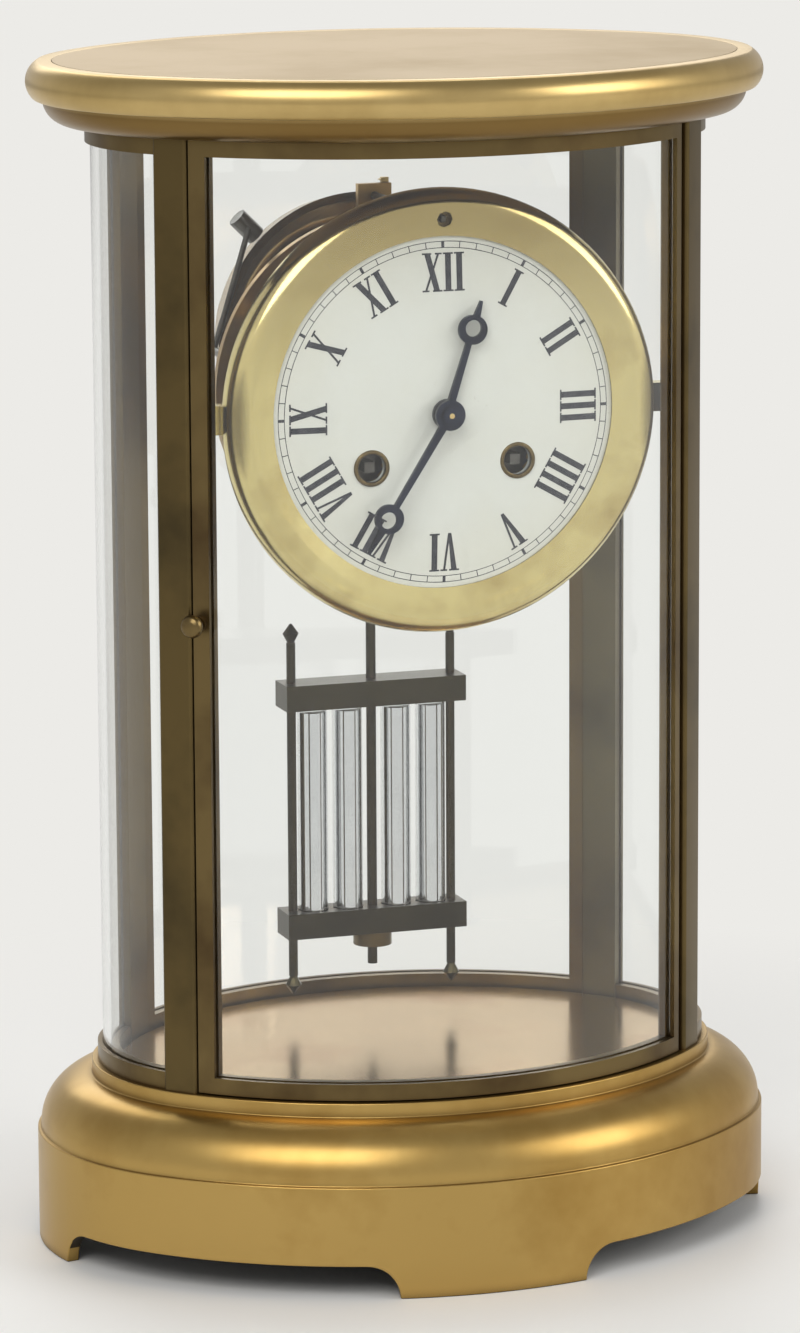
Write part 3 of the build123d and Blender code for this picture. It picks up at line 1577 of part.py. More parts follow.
def pendulum_rod():
    """Steel rod from the clevis at the suspension to the thread under the lower bar."""
    pin_z = PALLET[1] - strip_length
    half_depth = lower_block_depth / 2
    outside = half_depth + clevis_gap + clevis_wall
    yoke_top = pin_z + lower_block_height / 2
    slot_floor = pin_z - lower_block_height / 2 - clevis_gap
    half = clevis_width / 2
    yoke = box_between(
        (-half, suspension_y - outside, yoke_top - clevis_height), (half, suspension_y + outside, yoke_top)
    )
    slot = half_depth + clevis_gap
    yoke = yoke - box_between(
        (-half - overrun, suspension_y - slot, slot_floor),
        (half + overrun, suspension_y + slot, yoke_top + overrun),
    )
    reach = outside + overrun
    yoke = yoke - rod(0, pin_z, hook_pin_radius, suspension_y - reach, suspension_y + reach)
    tail = bar_bottom - bar_height / 2 - rod_tail
    return yoke + Pos(0, suspension_y) * upright_bar(centre_rod_radius, tail, slot_floor)


def finial():
    """A turned bud that ends a side rod: it swells from its neck, then draws in to its tip."""
    half = finial_height / 2
    swell = degrees(atan2(finial_radius - finial_neck_radius, half))
    draw_in = degrees(atan2(finial_radius - finial_tip_radius, half))
    lower = extrude(small_bar(finial_neck_radius), half, taper=-swell)
    upper = extrude(small_bar(finial_radius), half, taper=draw_in)
    return lower + Pos(0, 0, half) * upper


def pendulum_frame():
    """Two brass bars tied by two side rods with finials, bored for the vials and the rod."""
    frame = None
    for middle in (bar_top, bar_bottom):
        bar = Pos(0, suspension_y, middle) * Box(2 * bar_half_length, bar_depth, bar_height)
        frame = bar if frame is None else frame + bar
    low = bar_bottom - bar_height / 2 - side_rod_reach
    high = bar_top + bar_height / 2 + side_rod_reach
    for side in (-1, 1):
        place = Pos(side * side_rod_x, suspension_y)
        frame = frame + place * upright_bar(side_rod_radius, low, high)
        for turn, end in ((180, low), (0, high)):
            frame = frame + place * Pos(0, 0, end) * Rot(turn, 0, 0) * finial()
    for x in VIAL_PLACES:
        frame = frame - Pos(x, suspension_y) * upright_hole(vial_radius, vial_bottom_z, vial_top_z)
    rod_room = upright_bar(centre_rod_radius, bar_bottom - bar_height, bar_top + bar_height)
    return frame - Pos(0, suspension_y) * rod_room


def mercury_vials():
    """Four glass vials, closed at the foot."""
    vial = upright(vial_radius, vial_bottom_z, vial_top_z)
    vial = vial - upright(vial_radius - vial_wall, vial_bottom_z + vial_foot, vial_top_z + overrun)
    return Compound([Pos(x, suspension_y) * vial for x in VIAL_PLACES])


def mercury_columns():
    """The mercury in the four vials."""
    column = upright(vial_radius - vial_wall, vial_bottom_z + vial_foot, vial_top_z - mercury_space)
    return Compound([Pos(x, suspension_y) * column for x in VIAL_PLACES])


def rating_nut():
    """Nut under the lower bar that raises and lowers the bob."""
    high = bar_bottom - bar_height / 2 - running_clearance
    ring = upright(rating_nut_radius, high - rating_nut_height, high)
    bore = upright(centre_rod_radius + running_clearance, high - rating_nut_height - overrun, high + overrun)
    return Pos(0, suspension_y) * (ring - bore)


BEHIND = Rot(0, 0, 180)

NODES = {
    "base_plinth": base_plinth(),
    "floor_plate": floor_plate(),
    "top_cornice": top_cornice(),
    "top_panel": top_panel(),
    "post_nuts": post_nuts(),
    "side_rails_left": side_rails(-1),
    "side_rails_right": side_rails(1),
    "side_glass_left": side_glass(-1),
    "side_glass_right": side_glass(1),
    "front_door_frame": door_frame(),
    "front_door_glass": door_glass(),
    "front_door_knob": door_knob(),
    "front_door_pivots": door_pivots(),
    "rear_door_frame": BEHIND * door_frame(),
    "rear_door_glass": BEHIND * door_glass(),
    "rear_door_knob": BEHIND * door_knob(),
    "rear_door_pivots": BEHIND * door_pivots(),
    "dial_bezel": dial_bezel(),
    "enamel_dial": enamel_dial(),
    "dial_screws": dial_screws(),
    "minute_hand": minute_hand(),
    "hour_hand": hour_hand(),
    "hour_wheel": hour_wheel(),
    "cannon_pinion": cannon_pinion(),
    "minute_wheel": minute_wheel(),
    "hand_nut": hand_nut(),
    "front_plate": front_plate(),
    "back_plate": back_plate(),
    "plate_pillars": plate_pillars(),
    "pillar_pins": pillar_pins(),
    "going_barrel": barrel(GOING_BARREL, INTERMEDIATE),
    "going_winding_arbor": winding_arbor(GOING_BARREL),
    "winding_clicks": winding_clicks(),
    "intermediate_wheel": intermediate_wheel(),
    "centre_wheel": centre_wheel(),
    "third_wheel": third_wheel(),
    "escape_wheel": escape_wheel(),
    "pallet_anchor": pallet_anchor(),
    "back_cock": back_cock(),
    "strike_barrel": barrel(STRIKE_BARREL, PIN),
    "strike_winding_arbor": winding_arbor(STRIKE_BARREL),
    "pin_wheel": pin_wheel(),
    "warning_wheel": warning_wheel(),
    "fly": fly(),
    "hammer": hammer(),
    "bell": bell(),
    "bell_stand": bell_stand(),
    "regulator_slider": regulator_slider(),
    "regulator_arbor": regulator_arbor(),
    "suspension_spring_top": suspension_spring_top(),
    "suspension_spring": suspension_spring(),
    "pendulum_rod": pendulum_rod(),
    "pendulum_frame": pendulum_frame(),
    "mercury_vials": mercury_vials(),
    "mercury_columns": mercury_columns(),
    "rating_nut": rating_nut(),
}
for name, sides in POST_SIDES.items():
    NODES["post_" + name] = post(*sides)

os.makedirs("parts", exist_ok=True)
for name, shape in NODES.items():
    export_step(shape, f"parts/{name}.step")
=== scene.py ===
"""Oval glazed mantel clock: finishes, dial print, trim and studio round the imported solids."""

import logging
import math
from dataclasses import dataclass
from enum import Enum
from functools import cache

import bmesh
import bpy
from mathutils import Matrix, Vector


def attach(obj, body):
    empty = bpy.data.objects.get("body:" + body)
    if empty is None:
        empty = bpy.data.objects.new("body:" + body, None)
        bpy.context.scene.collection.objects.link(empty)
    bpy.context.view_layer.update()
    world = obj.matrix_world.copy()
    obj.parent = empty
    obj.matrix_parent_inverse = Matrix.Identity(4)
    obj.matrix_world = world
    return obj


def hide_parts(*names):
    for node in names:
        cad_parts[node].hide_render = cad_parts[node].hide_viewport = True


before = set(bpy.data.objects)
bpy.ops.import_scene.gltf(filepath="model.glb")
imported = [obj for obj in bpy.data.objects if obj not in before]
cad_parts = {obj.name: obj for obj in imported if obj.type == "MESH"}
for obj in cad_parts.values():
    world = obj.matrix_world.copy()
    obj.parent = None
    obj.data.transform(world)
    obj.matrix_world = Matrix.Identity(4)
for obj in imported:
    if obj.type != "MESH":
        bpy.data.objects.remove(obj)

Rgba = tuple[float, float, float, float]
Place = tuple[float, float, float]
Point = tuple[float, float]
Socket = bpy.types.NodeSocket
Material = bpy.types.Material
Mesh = bmesh.types.BMesh
Part = bmesh.types.BMVert | bmesh.types.BMEdge

LOG = logging.getLogger("mantel_clock")
MM = 0.001
CASE_BODY = "case"
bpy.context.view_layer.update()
DIAL_CENTRE: Place = (0.0, 0.0, 0.193)
BELL_CENTRE: Place = (0.0, 0.0, 0.202)
FACET_GAP = 0.000002
CURVE_ANGLE = 34.0
CAST_ANGLE = 40.0
TOOTH_ANGLE = 50.0
HOUR_ANGLE = 30
MINUTE_ANGLE = 6


class Grain(Enum):
    """How a metal's finishing marks run: marks per metre along x, y and z, detail and strength.

    TURNED counts its rings outwards from a centre, along x alone.
    """

    CAST = ((620, 620, 620), 4.0, 0.6)
    UPRIGHT = ((1600, 1600, 24), 4.0, 0.6)
    LEVEL = ((16, 16, 1300), 3.0, 0.5)
    TURNED = ((1500, 0, 0), 3.0, 0.7)


class Side(Enum):
    """A side of the case, by the word that its nodes carry."""

    FRONT = "front"
    REAR = "rear"
    LEFT = "left"
    RIGHT = "right"


def colour(red: float, green: float, blue: float) -> Rgba:
    """A linear colour with full alpha."""
    return (red, green, blue, 1.0)


# Colour for closed corners of brass: soiling and painted shade.
BRASS_GRIME_AND_SHADE = colour(0.08, 0.05, 0.02)
PALE_GROUND = colour(0.84, 0.83, 0.80)


class Tree:
    """A short way to build the node tree of a material or of the world."""

    def __init__(self, owner: Material | bpy.types.World, output: str = "OutputMaterial") -> None:
        """Starts an empty tree with an output node.

        Args:
            owner: The new material or world.
            output: The output node's type, without its ShaderNode prefix.
        """
        owner.use_nodes = True
        self.owner = owner
        self.nodes = owner.node_tree.nodes
        self.links = owner.node_tree.links
        self.nodes.clear()
        self.output = self.add(output)

    def add(self, kind: str, **inputs: object) -> bpy.types.Node:
        """Adds a node and sets or links its inputs.

        Args:
            kind: Blender's node type, without its ShaderNode prefix.
            inputs: Socket names with underscores for spaces, and a value or a socket each.

        Returns:
            The new node.
        """
        node = self.nodes.new("ShaderNode" + kind)
        for key, value in inputs.items():
            self.feed(node.inputs[key.replace("_", " ")], value)
        return node

    def feed(self, socket: Socket, value: object) -> None:
        """Links a socket to another, or gives it a plain value.

        Args:
            socket: The socket that is fed.
            value: A socket or a plain value.
        """
        if isinstance(value, Socket):
            self.links.new(value, socket)
        else:
            socket.default_value = value

    def place(self) -> Socket:
        """Object coordinates, in metres."""
        return self.add("TexCoord").outputs["Object"]

    def stretched(self, scale: Place, offset: Place = (0, 0, 0)) -> Socket:
        """Object coordinates moved by an offset and then scaled.

        Args:
            scale: The scale along each axis.
            offset: What is added to the place first, in metres.

        Returns:
            The mapped vector.
        """
        moved = self.add("VectorMath")
        moved.operation = "ADD"
        self.feed(moved.inputs[0], self.place())
        moved.inputs[1].default_value = offset
        return self.add("Mapping", Vector=moved.outputs["Vector"], Scale=scale).outputs["Vector"]

    def length(self, vector: Socket) -> Socket:
        """Length of a vector.

        Args:
            vector: The vector.

        Returns:
            Its length.
        """
        node = self.add("VectorMath")
        node.operation = "LENGTH"
        self.feed(node.inputs[0], vector)
        return node.outputs["Value"]

    def radius(self, centre: Place) -> Socket:
        """Distance, in metres, from the axis that runs front to back through a centre."""
        back = (-centre[0], -centre[1], -centre[2])
        return self.length(self.stretched((1, 0, 1), back))

    def noise(self, vector: Socket, scale: float, detail: float, rough: float = 0.55) -> Socket:
        """A noise value between 0 and 1."""
        node = self.add("TexNoise", Vector=vector, Scale=scale, Detail=detail, Roughness=rough)
        return node.outputs["Fac"]

    def spread(
        self, value: Socket, low: float, high: float, to_low: float = 0.0, to_high: float = 1.0
    ) -> Socket:
        """Maps one range of values on to another, and clamps.

        Args:
            value: The value to map.
            low: Where the old range starts.
            high: Where the old range ends.
            to_low: Where the new range starts.
            to_high: Where the new range ends.

        Returns:
            The mapped value.
        """
        node = self.add(
            "MapRange", Value=value, From_Min=low, From_Max=high, To_Min=to_low, To_Max=to_high
        )
        return node.outputs["Result"]

    def mix(self, factor: Socket, first: Socket | Rgba, second: Socket | Rgba) -> Socket:
        """Mixes two colours.

        Args:
            factor: The share of the second colour.
            first: The colour at 0.
            second: The colour at 1.

        Returns:
            The mixed colour.
        """
        node = self.add("Mix")
        node.data_type = "RGBA"
        sockets = (node.inputs[0], node.inputs[6], node.inputs[7])
        for socket, value in zip(sockets, (factor, first, second)):
            self.feed(socket, value)
        return node.outputs[2]

    def maths(self, operation: str, first: Socket, second: Socket | float) -> Socket:
        """One sum on two values.

        Args:
            operation: Blender's name for the sum.
            first: The first value.
            second: The second value.

        Returns:
            The result.
        """
        node = self.add("Math")
        node.operation = operation
        self.feed(node.inputs[0], first)
        self.feed(node.inputs[1], second)
        return node.outputs[0]

    def bump(self, height: Socket, strength: float, distance: float) -> Socket:
        """A bumped normal from a height, with the distance in metres."""
        node = self.add("Bump", Height=height, Strength=strength, Distance=distance)
        return node.outputs["Normal"]

    def choose(self, factor: Socket, first: bpy.types.Node, second: bpy.types.Node) -> Socket:
        """Mixes two shaders.

        Args:
            factor: The share of the second shader.
            first: The shader node at 0.
            second: The shader node at 1.

        Returns:
            The mixed shader.
        """
        node = self.add("MixShader")
        for socket, value in zip(node.inputs, (factor, first.outputs[0], second.outputs[0])):
            self.feed(socket, value)
        return node.outputs[0]

    def in_sight(self) -> Socket:
        """1 for rays that come from the eye, straight or through glass, and 0 for all others."""
        ray = self.add("LightPath").outputs
        return self.maths("MAXIMUM", ray["Is Camera Ray"], ray["Is Transmission Ray"])

    def finish(self, shader: Socket) -> Material | bpy.types.World:
        """Links the last shader to the output and hands the tree's owner back."""
        self.links.new(shader, self.output.inputs["Surface"])
        return self.owner


@dataclass(frozen=True)
class MetalFinish:
    """A metal with tone changes, soiling and painted shade in its corners, painted shade by height
    and finishing marks.

    Args:
        name: The material's name.
        bright: Colour where it is clean.
        dull: Colour where it is toned down by age.
        smooth: Lowest roughness.
        rough: Highest roughness.
        grain: The way its marks run.
        patch: Size of the tone patches, in metres.
        marks: Depth of the marks, in metres.
        marks_strength: How strongly the marks show, from 0 to 1.
        centre: The centre of turned rings, in metres.
        dullness: How much of the surface is toned, from 0 to 1.
        flecks: Small flecks of tone, per metre.
        fleck_weight: How far they change the tone patches.
        grime_and_shade_colour: Colour in the corners, for soiling and painted shade together.
        grime_and_shade_cover: How much of it a closed corner holds.
        reach: How far the soiling and painted shade spread from a corner, in metres.
        shade_top: Height at which the painted shade starts, in metres; 0 leaves it out.
        shade_depth: How far below that height it is full; a negative depth is above it.
        shade_cover: How much of the darkened colour shows there.
        shade: The painted shade colour.
    """

    name: str
    bright: Rgba
    dull: Rgba
    smooth: float
    rough: float
    grain: Grain
    patch: float
    marks: float = 0.00002
    marks_strength: float = 0.25
    centre: Place = DIAL_CENTRE
    dullness: float = 0.5
    flecks: float = 240.0
    fleck_weight: float = 0.15
    grime_and_shade_colour: Rgba = BRASS_GRIME_AND_SHADE
    grime_and_shade_cover: float = 0.75
    reach: float = 0.0025
    shade_top: float = 0.0
    shade_depth: float = 0.0012
    shade_cover: float = 0.85
    shade: Rgba = colour(0.16, 0.09, 0.025)

    def marks_height(self, tree: Tree) -> Socket:
        """The height of the finishing marks, for the bump.

        Args:
            tree: The tree that the marks are added to.

        Returns:
            The height socket.
        """
        stretch, detail, strength = self.grain.value
        if self.grain is Grain.TURNED:
            out = tree.maths("MULTIPLY", tree.radius(self.centre), stretch[0])
            place = tree.add("CombineXYZ", X=out).outputs["Vector"]
        else:
            place = tree.stretched(stretch)
        return tree.noise(place, 1.0, detail, strength)

    def make(self) -> Material:
        """Builds the material.

        Returns:
            The finished material.
        """
        tree = Tree(bpy.data.materials.new(self.name))
        clouds = tree.noise(tree.place(), 1.0 / self.patch, 3.0, 0.5)
        flecks = tree.noise(tree.place(), self.flecks, 2.0, 0.5)
        toned = tree.maths("ADD", clouds, tree.maths("MULTIPLY", flecks, self.fleck_weight))
        toned = tree.spread(toned, 0.78 - self.dullness * 0.5, 1.0 - self.dullness * 0.4)
        base = tree.mix(toned, self.bright, self.dull)
        # Painted shade by height: darker below shade_top, or above it when shade_depth is negative.
        if self.shade_top > 0:
            height = tree.add("SeparateXYZ", Vector=tree.place()).outputs["Z"]
            full = self.shade_top - self.shade_depth
            hollow = tree.spread(height, full, self.shade_top, self.shade_cover, 0.0)
            base = tree.mix(hollow, base, self.shade)
        # Ambient occlusion darkens closed corners and gaps towards the corner colour: painted shade
        # with some soiling; they also turn rougher.
        corner = tree.add("AmbientOcclusion", Distance=self.reach, Color=colour(1, 1, 1))
        corner.samples = 6
        grime_and_shade_mask = tree.spread(corner.outputs["AO"], 0.35, 0.9, self.grime_and_shade_cover, 0.0)
        wear = tree.maths("ADD", clouds, grime_and_shade_mask)
        metal = tree.add(
            "BsdfPrincipled",
            Base_Color=tree.mix(grime_and_shade_mask, base, self.grime_and_shade_colour),
            Metallic=1.0,
            Roughness=tree.spread(wear, 0.3, 1.1, self.smooth, self.rough),
            Normal=tree.bump(self.marks_height(tree), self.marks_strength, self.marks),
        )
        return tree.finish(metal.outputs["BSDF"])


@dataclass(frozen=True)
class EnamelFinish:
    """Fired white enamel: glossy, faintly speckled and yellowed towards its rim."""

    name: str = "fired_enamel"
    white: Rgba = colour(0.57, 0.575, 0.53)
    aged: Rgba = colour(0.55, 0.54, 0.46)
    pit: Rgba = colour(0.32, 0.29, 0.24)
    rim: float = 0.039
    inner_share: float = 0.6
    yellowing: float = 0.45
    mottle: float = 0.35
    pit_cover: float = 0.5
    ripple: float = 0.00008

    def make(self) -> Material:
        """Builds the material.

        Returns:
            The finished material.
        """
        tree = Tree(bpy.data.materials.new(self.name))
        start = self.rim * self.inner_share
        age = tree.spread(tree.radius(DIAL_CENTRE), start, self.rim, 0.0, self.yellowing)
        clouds = tree.spread(tree.noise(tree.place(), 60.0, 4.0), 0.4, 0.75, 0.0, self.mottle)
        base = tree.mix(tree.maths("ADD", age, clouds), self.white, self.aged)
        pits = tree.spread(tree.noise(tree.place(), 1500.0, 2.0), 0.70, 0.76)
        shader = tree.add(
            "BsdfPrincipled",
            Base_Color=tree.mix(tree.maths("MULTIPLY", pits, self.pit_cover), base, self.pit),
            Roughness=0.12,
            IOR=1.52,
            Coat_Weight=0.4,
            Coat_Roughness=0.05,
            Normal=tree.bump(tree.noise(tree.place(), 90.0, 2.0), 0.2, self.ripple),
        )
        return tree.finish(shader.outputs["BSDF"])


@dataclass(frozen=True)
class PaintFinish:
    """Fired black print on the enamel, slightly uneven in its cover."""

    name: str = "fired_print"
    dark: Rgba = colour(0.012, 0.014, 0.022)
    thin: Rgba = colour(0.05, 0.05, 0.06)

    def make(self) -> Material:
        """Builds the material.

        Returns:
            The finished material.
        """
        tree = Tree(bpy.data.materials.new(self.name))
        cover = tree.spread(tree.noise(tree.place(), 700.0, 4.0), 0.45, 0.75)
        print_colour = tree.mix(cover, self.dark, self.thin)
        shader = tree.add("BsdfPrincipled", Base_Color=print_colour, Roughness=0.3)
        return tree.finish(shader.outputs["BSDF"])


@dataclass(frozen=True)
class GlassFinish:
    """Clear glass that lets light through to what stands behind it."""

    name: str
    index: float = 1.46
    tint: Rgba = colour(0.985, 0.995, 0.99)
    waves: float = 0.0002

    def make(self) -> Material:
        """Builds the material.

        Returns:
            The finished material.
        """
        tree = Tree(bpy.data.materials.new(self.name))
        shader = tree.add(
            "BsdfPrincipled",
            Base_Color=self.tint,
            Roughness=0.0,
            IOR=self.index,
            Transmission_Weight=1.0,
            Normal=tree.bump(tree.noise(tree.place(), 14.0, 1.0), 0.05, self.waves),
        )
        clear = tree.add("BsdfTransparent", Color=self.tint)
        shadow = tree.add("LightPath").outputs["Is Shadow Ray"]
        return tree.finish(tree.choose(shadow, shader, clear))


@dataclass(frozen=True)
class BackdropFinish:
    """Pale ground that takes the clock's shadow near by and turns plain further out."""

    name: str = "pale_ground"
    worn: Rgba = colour(0.80, 0.79, 0.76)
    patch_cover: float = 0.1
    near_edge: float = 0.085
    far_edge: float = 0.30

    def make(self) -> Material:
        """Builds the material.

        Returns:
            The finished material.
        """
        tree = Tree(bpy.data.materials.new(self.name))
        clouds = tree.spread(tree.noise(tree.place(), 3.0, 2.0), 0.3, 0.7, 0.0, self.patch_cover)
        base = tree.mix(clouds, PALE_GROUND, self.worn)
        shader = tree.add("BsdfPrincipled", Base_Color=base, Roughness=0.6)
        away = tree.spread(tree.length(tree.place()), self.near_edge, self.far_edge)
        plain = tree.add("Emission", Color=PALE_GROUND, Strength=1.0)
        factor = tree.maths("MULTIPLY", away, tree.in_sight())
        return tree.finish(tree.choose(factor, shader, plain))


class Finishes:
    """Every finish of the clock, each made once."""

    def __init__(self) -> None:
        """Builds all the materials."""
        self.base = MetalFinish(
            "gilt_base", colour(0.50, 0.33, 0.106), colour(0.36, 0.215, 0.056),
            0.29, 0.44, Grain.LEVEL, 0.05, marks=0.000008,
        ).make()
        # Raw cast brass inside and under the base, darkened further: painted shade seen through the
        # arches.
        self.shaded_underside = MetalFinish(
            "raw_shaded_underside", colour(0.07, 0.055, 0.035), colour(0.04, 0.03, 0.02),
            0.4, 0.6, Grain.CAST, 0.03, grime_and_shade_colour=colour(0.01, 0.008, 0.006),
        ).make()
        self.cornice = MetalFinish(
            # The cornice darkens below its fascia: painted shade on the down-facing quarter round.
            "gilt_cornice", colour(0.58, 0.42, 0.172), colour(0.435, 0.30, 0.11),
            0.285, 0.4, Grain.LEVEL, 0.05, marks=0.000008, shade_top=0.2618,
        ).make()
        # Paler, pinker, rougher copy of the gilt brass for the top panel: partly painted reflection
        # of the bright surroundings.
        self.top = MetalFinish(
            "gilt_top_painted_reflection", colour(0.455, 0.355, 0.22), colour(0.395, 0.30, 0.17),
            0.54, 0.64, Grain.LEVEL, 0.05, marks=0.000008,
        ).make()
        # Darker copy of the gilt brass: painted dark reflection on the posts, painted shade on the
        # winding collets; the rating nut takes it too.
        self.shaded_brass = MetalFinish(
            "shaded_dark_brass", colour(0.13, 0.092, 0.037), colour(0.07, 0.052, 0.024),
            0.29, 0.44, Grain.UPRIGHT, 0.03,
        ).make()
        # Paler, greyer copy of that brass for the rear right post: painted reflection haze from the
        # panes in front of it.
        self.hazed_brass = MetalFinish(
            "hazed_post", colour(0.15, 0.125, 0.065), colour(0.08, 0.068, 0.038),
            0.29, 0.44, Grain.UPRIGHT, 0.03,
        ).make()
        # Darker copy of the gilt brass for side rails, door frames and knobs: painted shade.
        self.shaded_rail = MetalFinish(
            "shaded_rail_brass", colour(0.17, 0.12, 0.05), colour(0.085, 0.055, 0.025),
            0.29, 0.42, Grain.LEVEL, 0.03,
        ).make()
        self.floor = MetalFinish(
            "gilt_floor", colour(0.52, 0.355, 0.175), colour(0.40, 0.235, 0.095),
            0.16, 0.26, Grain.LEVEL, 0.03,
        ).make()
        # The bezel darkens towards its top: painted shade.
        self.bezel = MetalFinish(
            "polished_bezel", colour(0.71, 0.60, 0.275), colour(0.50, 0.385, 0.15),
            0.14, 0.26, Grain.TURNED, 0.02, dullness=0.4,
            shade_top=0.200, shade_depth=-0.036, shade=colour(0.36, 0.275, 0.12),
        ).make()
        self.plate = MetalFinish(
            "grained_plate", colour(0.50, 0.34, 0.14), colour(0.32, 0.20, 0.07),
            0.29, 0.42, Grain.UPRIGHT, 0.02,
        ).make()
        self.wheel = MetalFinish(
            "cut_wheel", colour(0.74, 0.56, 0.25), colour(0.54, 0.38, 0.15),
            0.285, 0.38, Grain.CAST, 0.01, marks=0.00001,
        ).make()
        self.bell = MetalFinish(
            "turned_bell", colour(0.40, 0.28, 0.13), colour(0.24, 0.15, 0.06),
            0.17, 0.26, Grain.TURNED, 0.02, marks=0.000006, centre=BELL_CENTRE,
        ).make()
        self.steel = MetalFinish(
            "polished_steel", colour(0.42, 0.42, 0.41), colour(0.26, 0.25, 0.24),
            0.16, 0.26, Grain.CAST, 0.01, marks=0.00001, grime_and_shade_colour=colour(0.05, 0.045, 0.04),
        ).make()
        # Dark steel; on the winding arbors it is painted shade in the winding holes.
        self.dark_steel = MetalFinish(
            "dark_shaded_steel", colour(0.13, 0.125, 0.115), colour(0.07, 0.065, 0.055),
            0.29, 0.38, Grain.CAST, 0.01, marks=0.00001, grime_and_shade_colour=colour(0.02, 0.018, 0.015),
        ).make()
        self.blued = MetalFinish(
            "blued_hands", colour(0.030, 0.036, 0.060), colour(0.020, 0.022, 0.035),
            0.14, 0.26, Grain.CAST, 0.008, marks=0.000008, grime_and_shade_colour=colour(0.01, 0.01, 0.01),
        ).make()
        self.bob = MetalFinish(
            "toned_bob", colour(0.042, 0.034, 0.016), colour(0.026, 0.020, 0.010),
            0.29, 0.4, Grain.LEVEL, 0.02,
        ).make()
        self.mercury = MetalFinish(
            "liquid_mercury", colour(0.93, 0.94, 0.95), colour(0.86, 0.87, 0.89),
            0.03, 0.06, Grain.CAST, 0.02, marks=0.000002, dullness=0.2,
            grime_and_shade_colour=colour(0.6, 0.6, 0.62),
        ).make()
        self.enamel = EnamelFinish().make()
        self.paint = PaintFinish().make()
        self.pane = GlassFinish("bent_pane").make()
        self.vial = GlassFinish("vial_tube", index=1.28).make()
        self.ground = BackdropFinish().make()


@cache
def smoothing(angle: float) -> bpy.types.NodeTree:
    """A node group that shades smooth up to an edge angle.

    Args:
        angle: The angle in degrees.

    Returns:
        The geometry node group.
    """
    group = bpy.data.node_groups.new(f"smooth_{angle:g}", "GeometryNodeTree")
    nodes, links = group.nodes, group.links
    for way in ("INPUT", "OUTPUT"):
        group.interface.new_socket("Geometry", in_out=way, socket_type="NodeSocketGeometry")
    entry = nodes.new("NodeGroupInput")
    leave = nodes.new("NodeGroupOutput")
    faces = nodes.new("GeometryNodeSetShadeSmooth")
    edges = nodes.new("GeometryNodeSetShadeSmooth")
    edges.domain = "EDGE"
    edges.inputs["Shade Smooth"].default_value = False
    bend = nodes.new("GeometryNodeInputMeshEdgeAngle")
    sharp = nodes.new("FunctionNodeCompare")
    sharp.data_type = "FLOAT"
    sharp.operation = "GREATER_THAN"
    sharp.inputs[1].default_value = math.radians(angle)
    links.new(bend.outputs["Unsigned Angle"], sharp.inputs[0])
    links.new(entry.outputs[0], faces.inputs["Geometry"])
    links.new(faces.outputs["Geometry"], edges.inputs["Geometry"])
    links.new(sharp.outputs["Result"], edges.inputs["Selection"])
    links.new(edges.outputs["Geometry"], leave.inputs[0])
    return group


def dress(node: str, material: Material, smooth_angle: float = CURVE_ANGLE) -> None:
    """Gives a CAD node its finish and smooths its curved faces.

    Args:
        node: The CAD node's name.
        material: The finish it takes.
        smooth_angle: Edges sharper than this, in degrees, stay sharp.
    """
    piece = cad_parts[node]
    piece.data.materials.clear()
    piece.data.materials.append(material)
    piece.modifiers.new("join_facets", "WELD").merge_threshold = FACET_GAP
    piece.modifiers.new("smooth_curves", "NODES").node_group = smoothing(smooth_angle)
    LOG.info("dressed %s as %s", node, material.name)


def show(piece: bpy.types.Object) -> None:
    """Puts an object in the scene."""
    bpy.context.scene.collection.objects.link(piece)


def new_piece(
    name: str, mesh: Mesh, material: Material, body: str, solid: bool = True
) -> bpy.types.Object:
    """Makes an object of a finished bmesh, at the origin, and rides it on its body.

    Args:
        name: The piece's name.
        mesh: The finished mesh, in millimetres, which is freed.
        material: Its finish.
        body: The CAD body it rides on.
        solid: Whether it is smooth and faces outwards; print is flat and faces the front.

    Returns:
        The new object.
    """
    bmesh.ops.scale(mesh, vec=(MM, MM, MM), verts=mesh.verts)
    bmesh.ops.recalc_face_normals(mesh, faces=mesh.faces)
    if not solid:
        turned = [face for face in mesh.faces if face.normal.y > 0]
        bmesh.ops.reverse_faces(mesh, faces=turned)
    data = bpy.data.meshes.new(name)
    mesh.to_mesh(data)
    mesh.free()
    for face in data.polygons:
        face.use_smooth = solid
    data.materials.append(material)
    piece = bpy.data.objects.new(name, data)
    show(piece)
    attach(piece, body)
    LOG.info("built %s with %d faces", name, len(data.polygons))
    return piece


def turn_round(mesh: Mesh, geom: list[Part], steps: int) -> None:
    """Spins a section a full turn about the axis that runs front to back.

    Args:
        mesh: The mesh that holds it.
        geom: The section's points and edges.
        steps: Number of segments.
    """
    bmesh.ops.spin(
        mesh, geom=geom, cent=(0, 0, 0), axis=(0, 1, 0), dvec=(0, 0, 0), angle=2 * math.pi,
        steps=steps, use_merge=True, use_duplicate=False,
    )


def round_points(centre: Point, radius: float, start: float, end: float, count: int) -> list[Point]:
    """Points along the arc of a section.

    Args:
        centre: The arc's centre: distance outside the oval, and height.
        radius: Its radius.
        start: Where it starts, in degrees.
        end: Where it ends, in degrees.
        count: Number of steps.

    Returns:
        The points, both ends among them.
    """
    angles = [math.radians(start + (end - start) * step / count) for step in range(count + 1)]
    x, z = centre
    return [(x + radius * math.cos(angle), z + radius * math.sin(angle)) for angle in angles]


@dataclass(frozen=True)
class Arc:
    """One of the four arcs of the oval, in millimetres and degrees.

    Args:
        x: Its centre, to the right.
        y: Its centre, to the back.
        radius: Its radius on the oval itself.
        middle: The direction of its middle.
        half: Half of its angle.
        pad: Half the width of the foot pad at its middle.
    """

    x: float
    y: float
    radius: float
    middle: float
    half: float
    pad: float


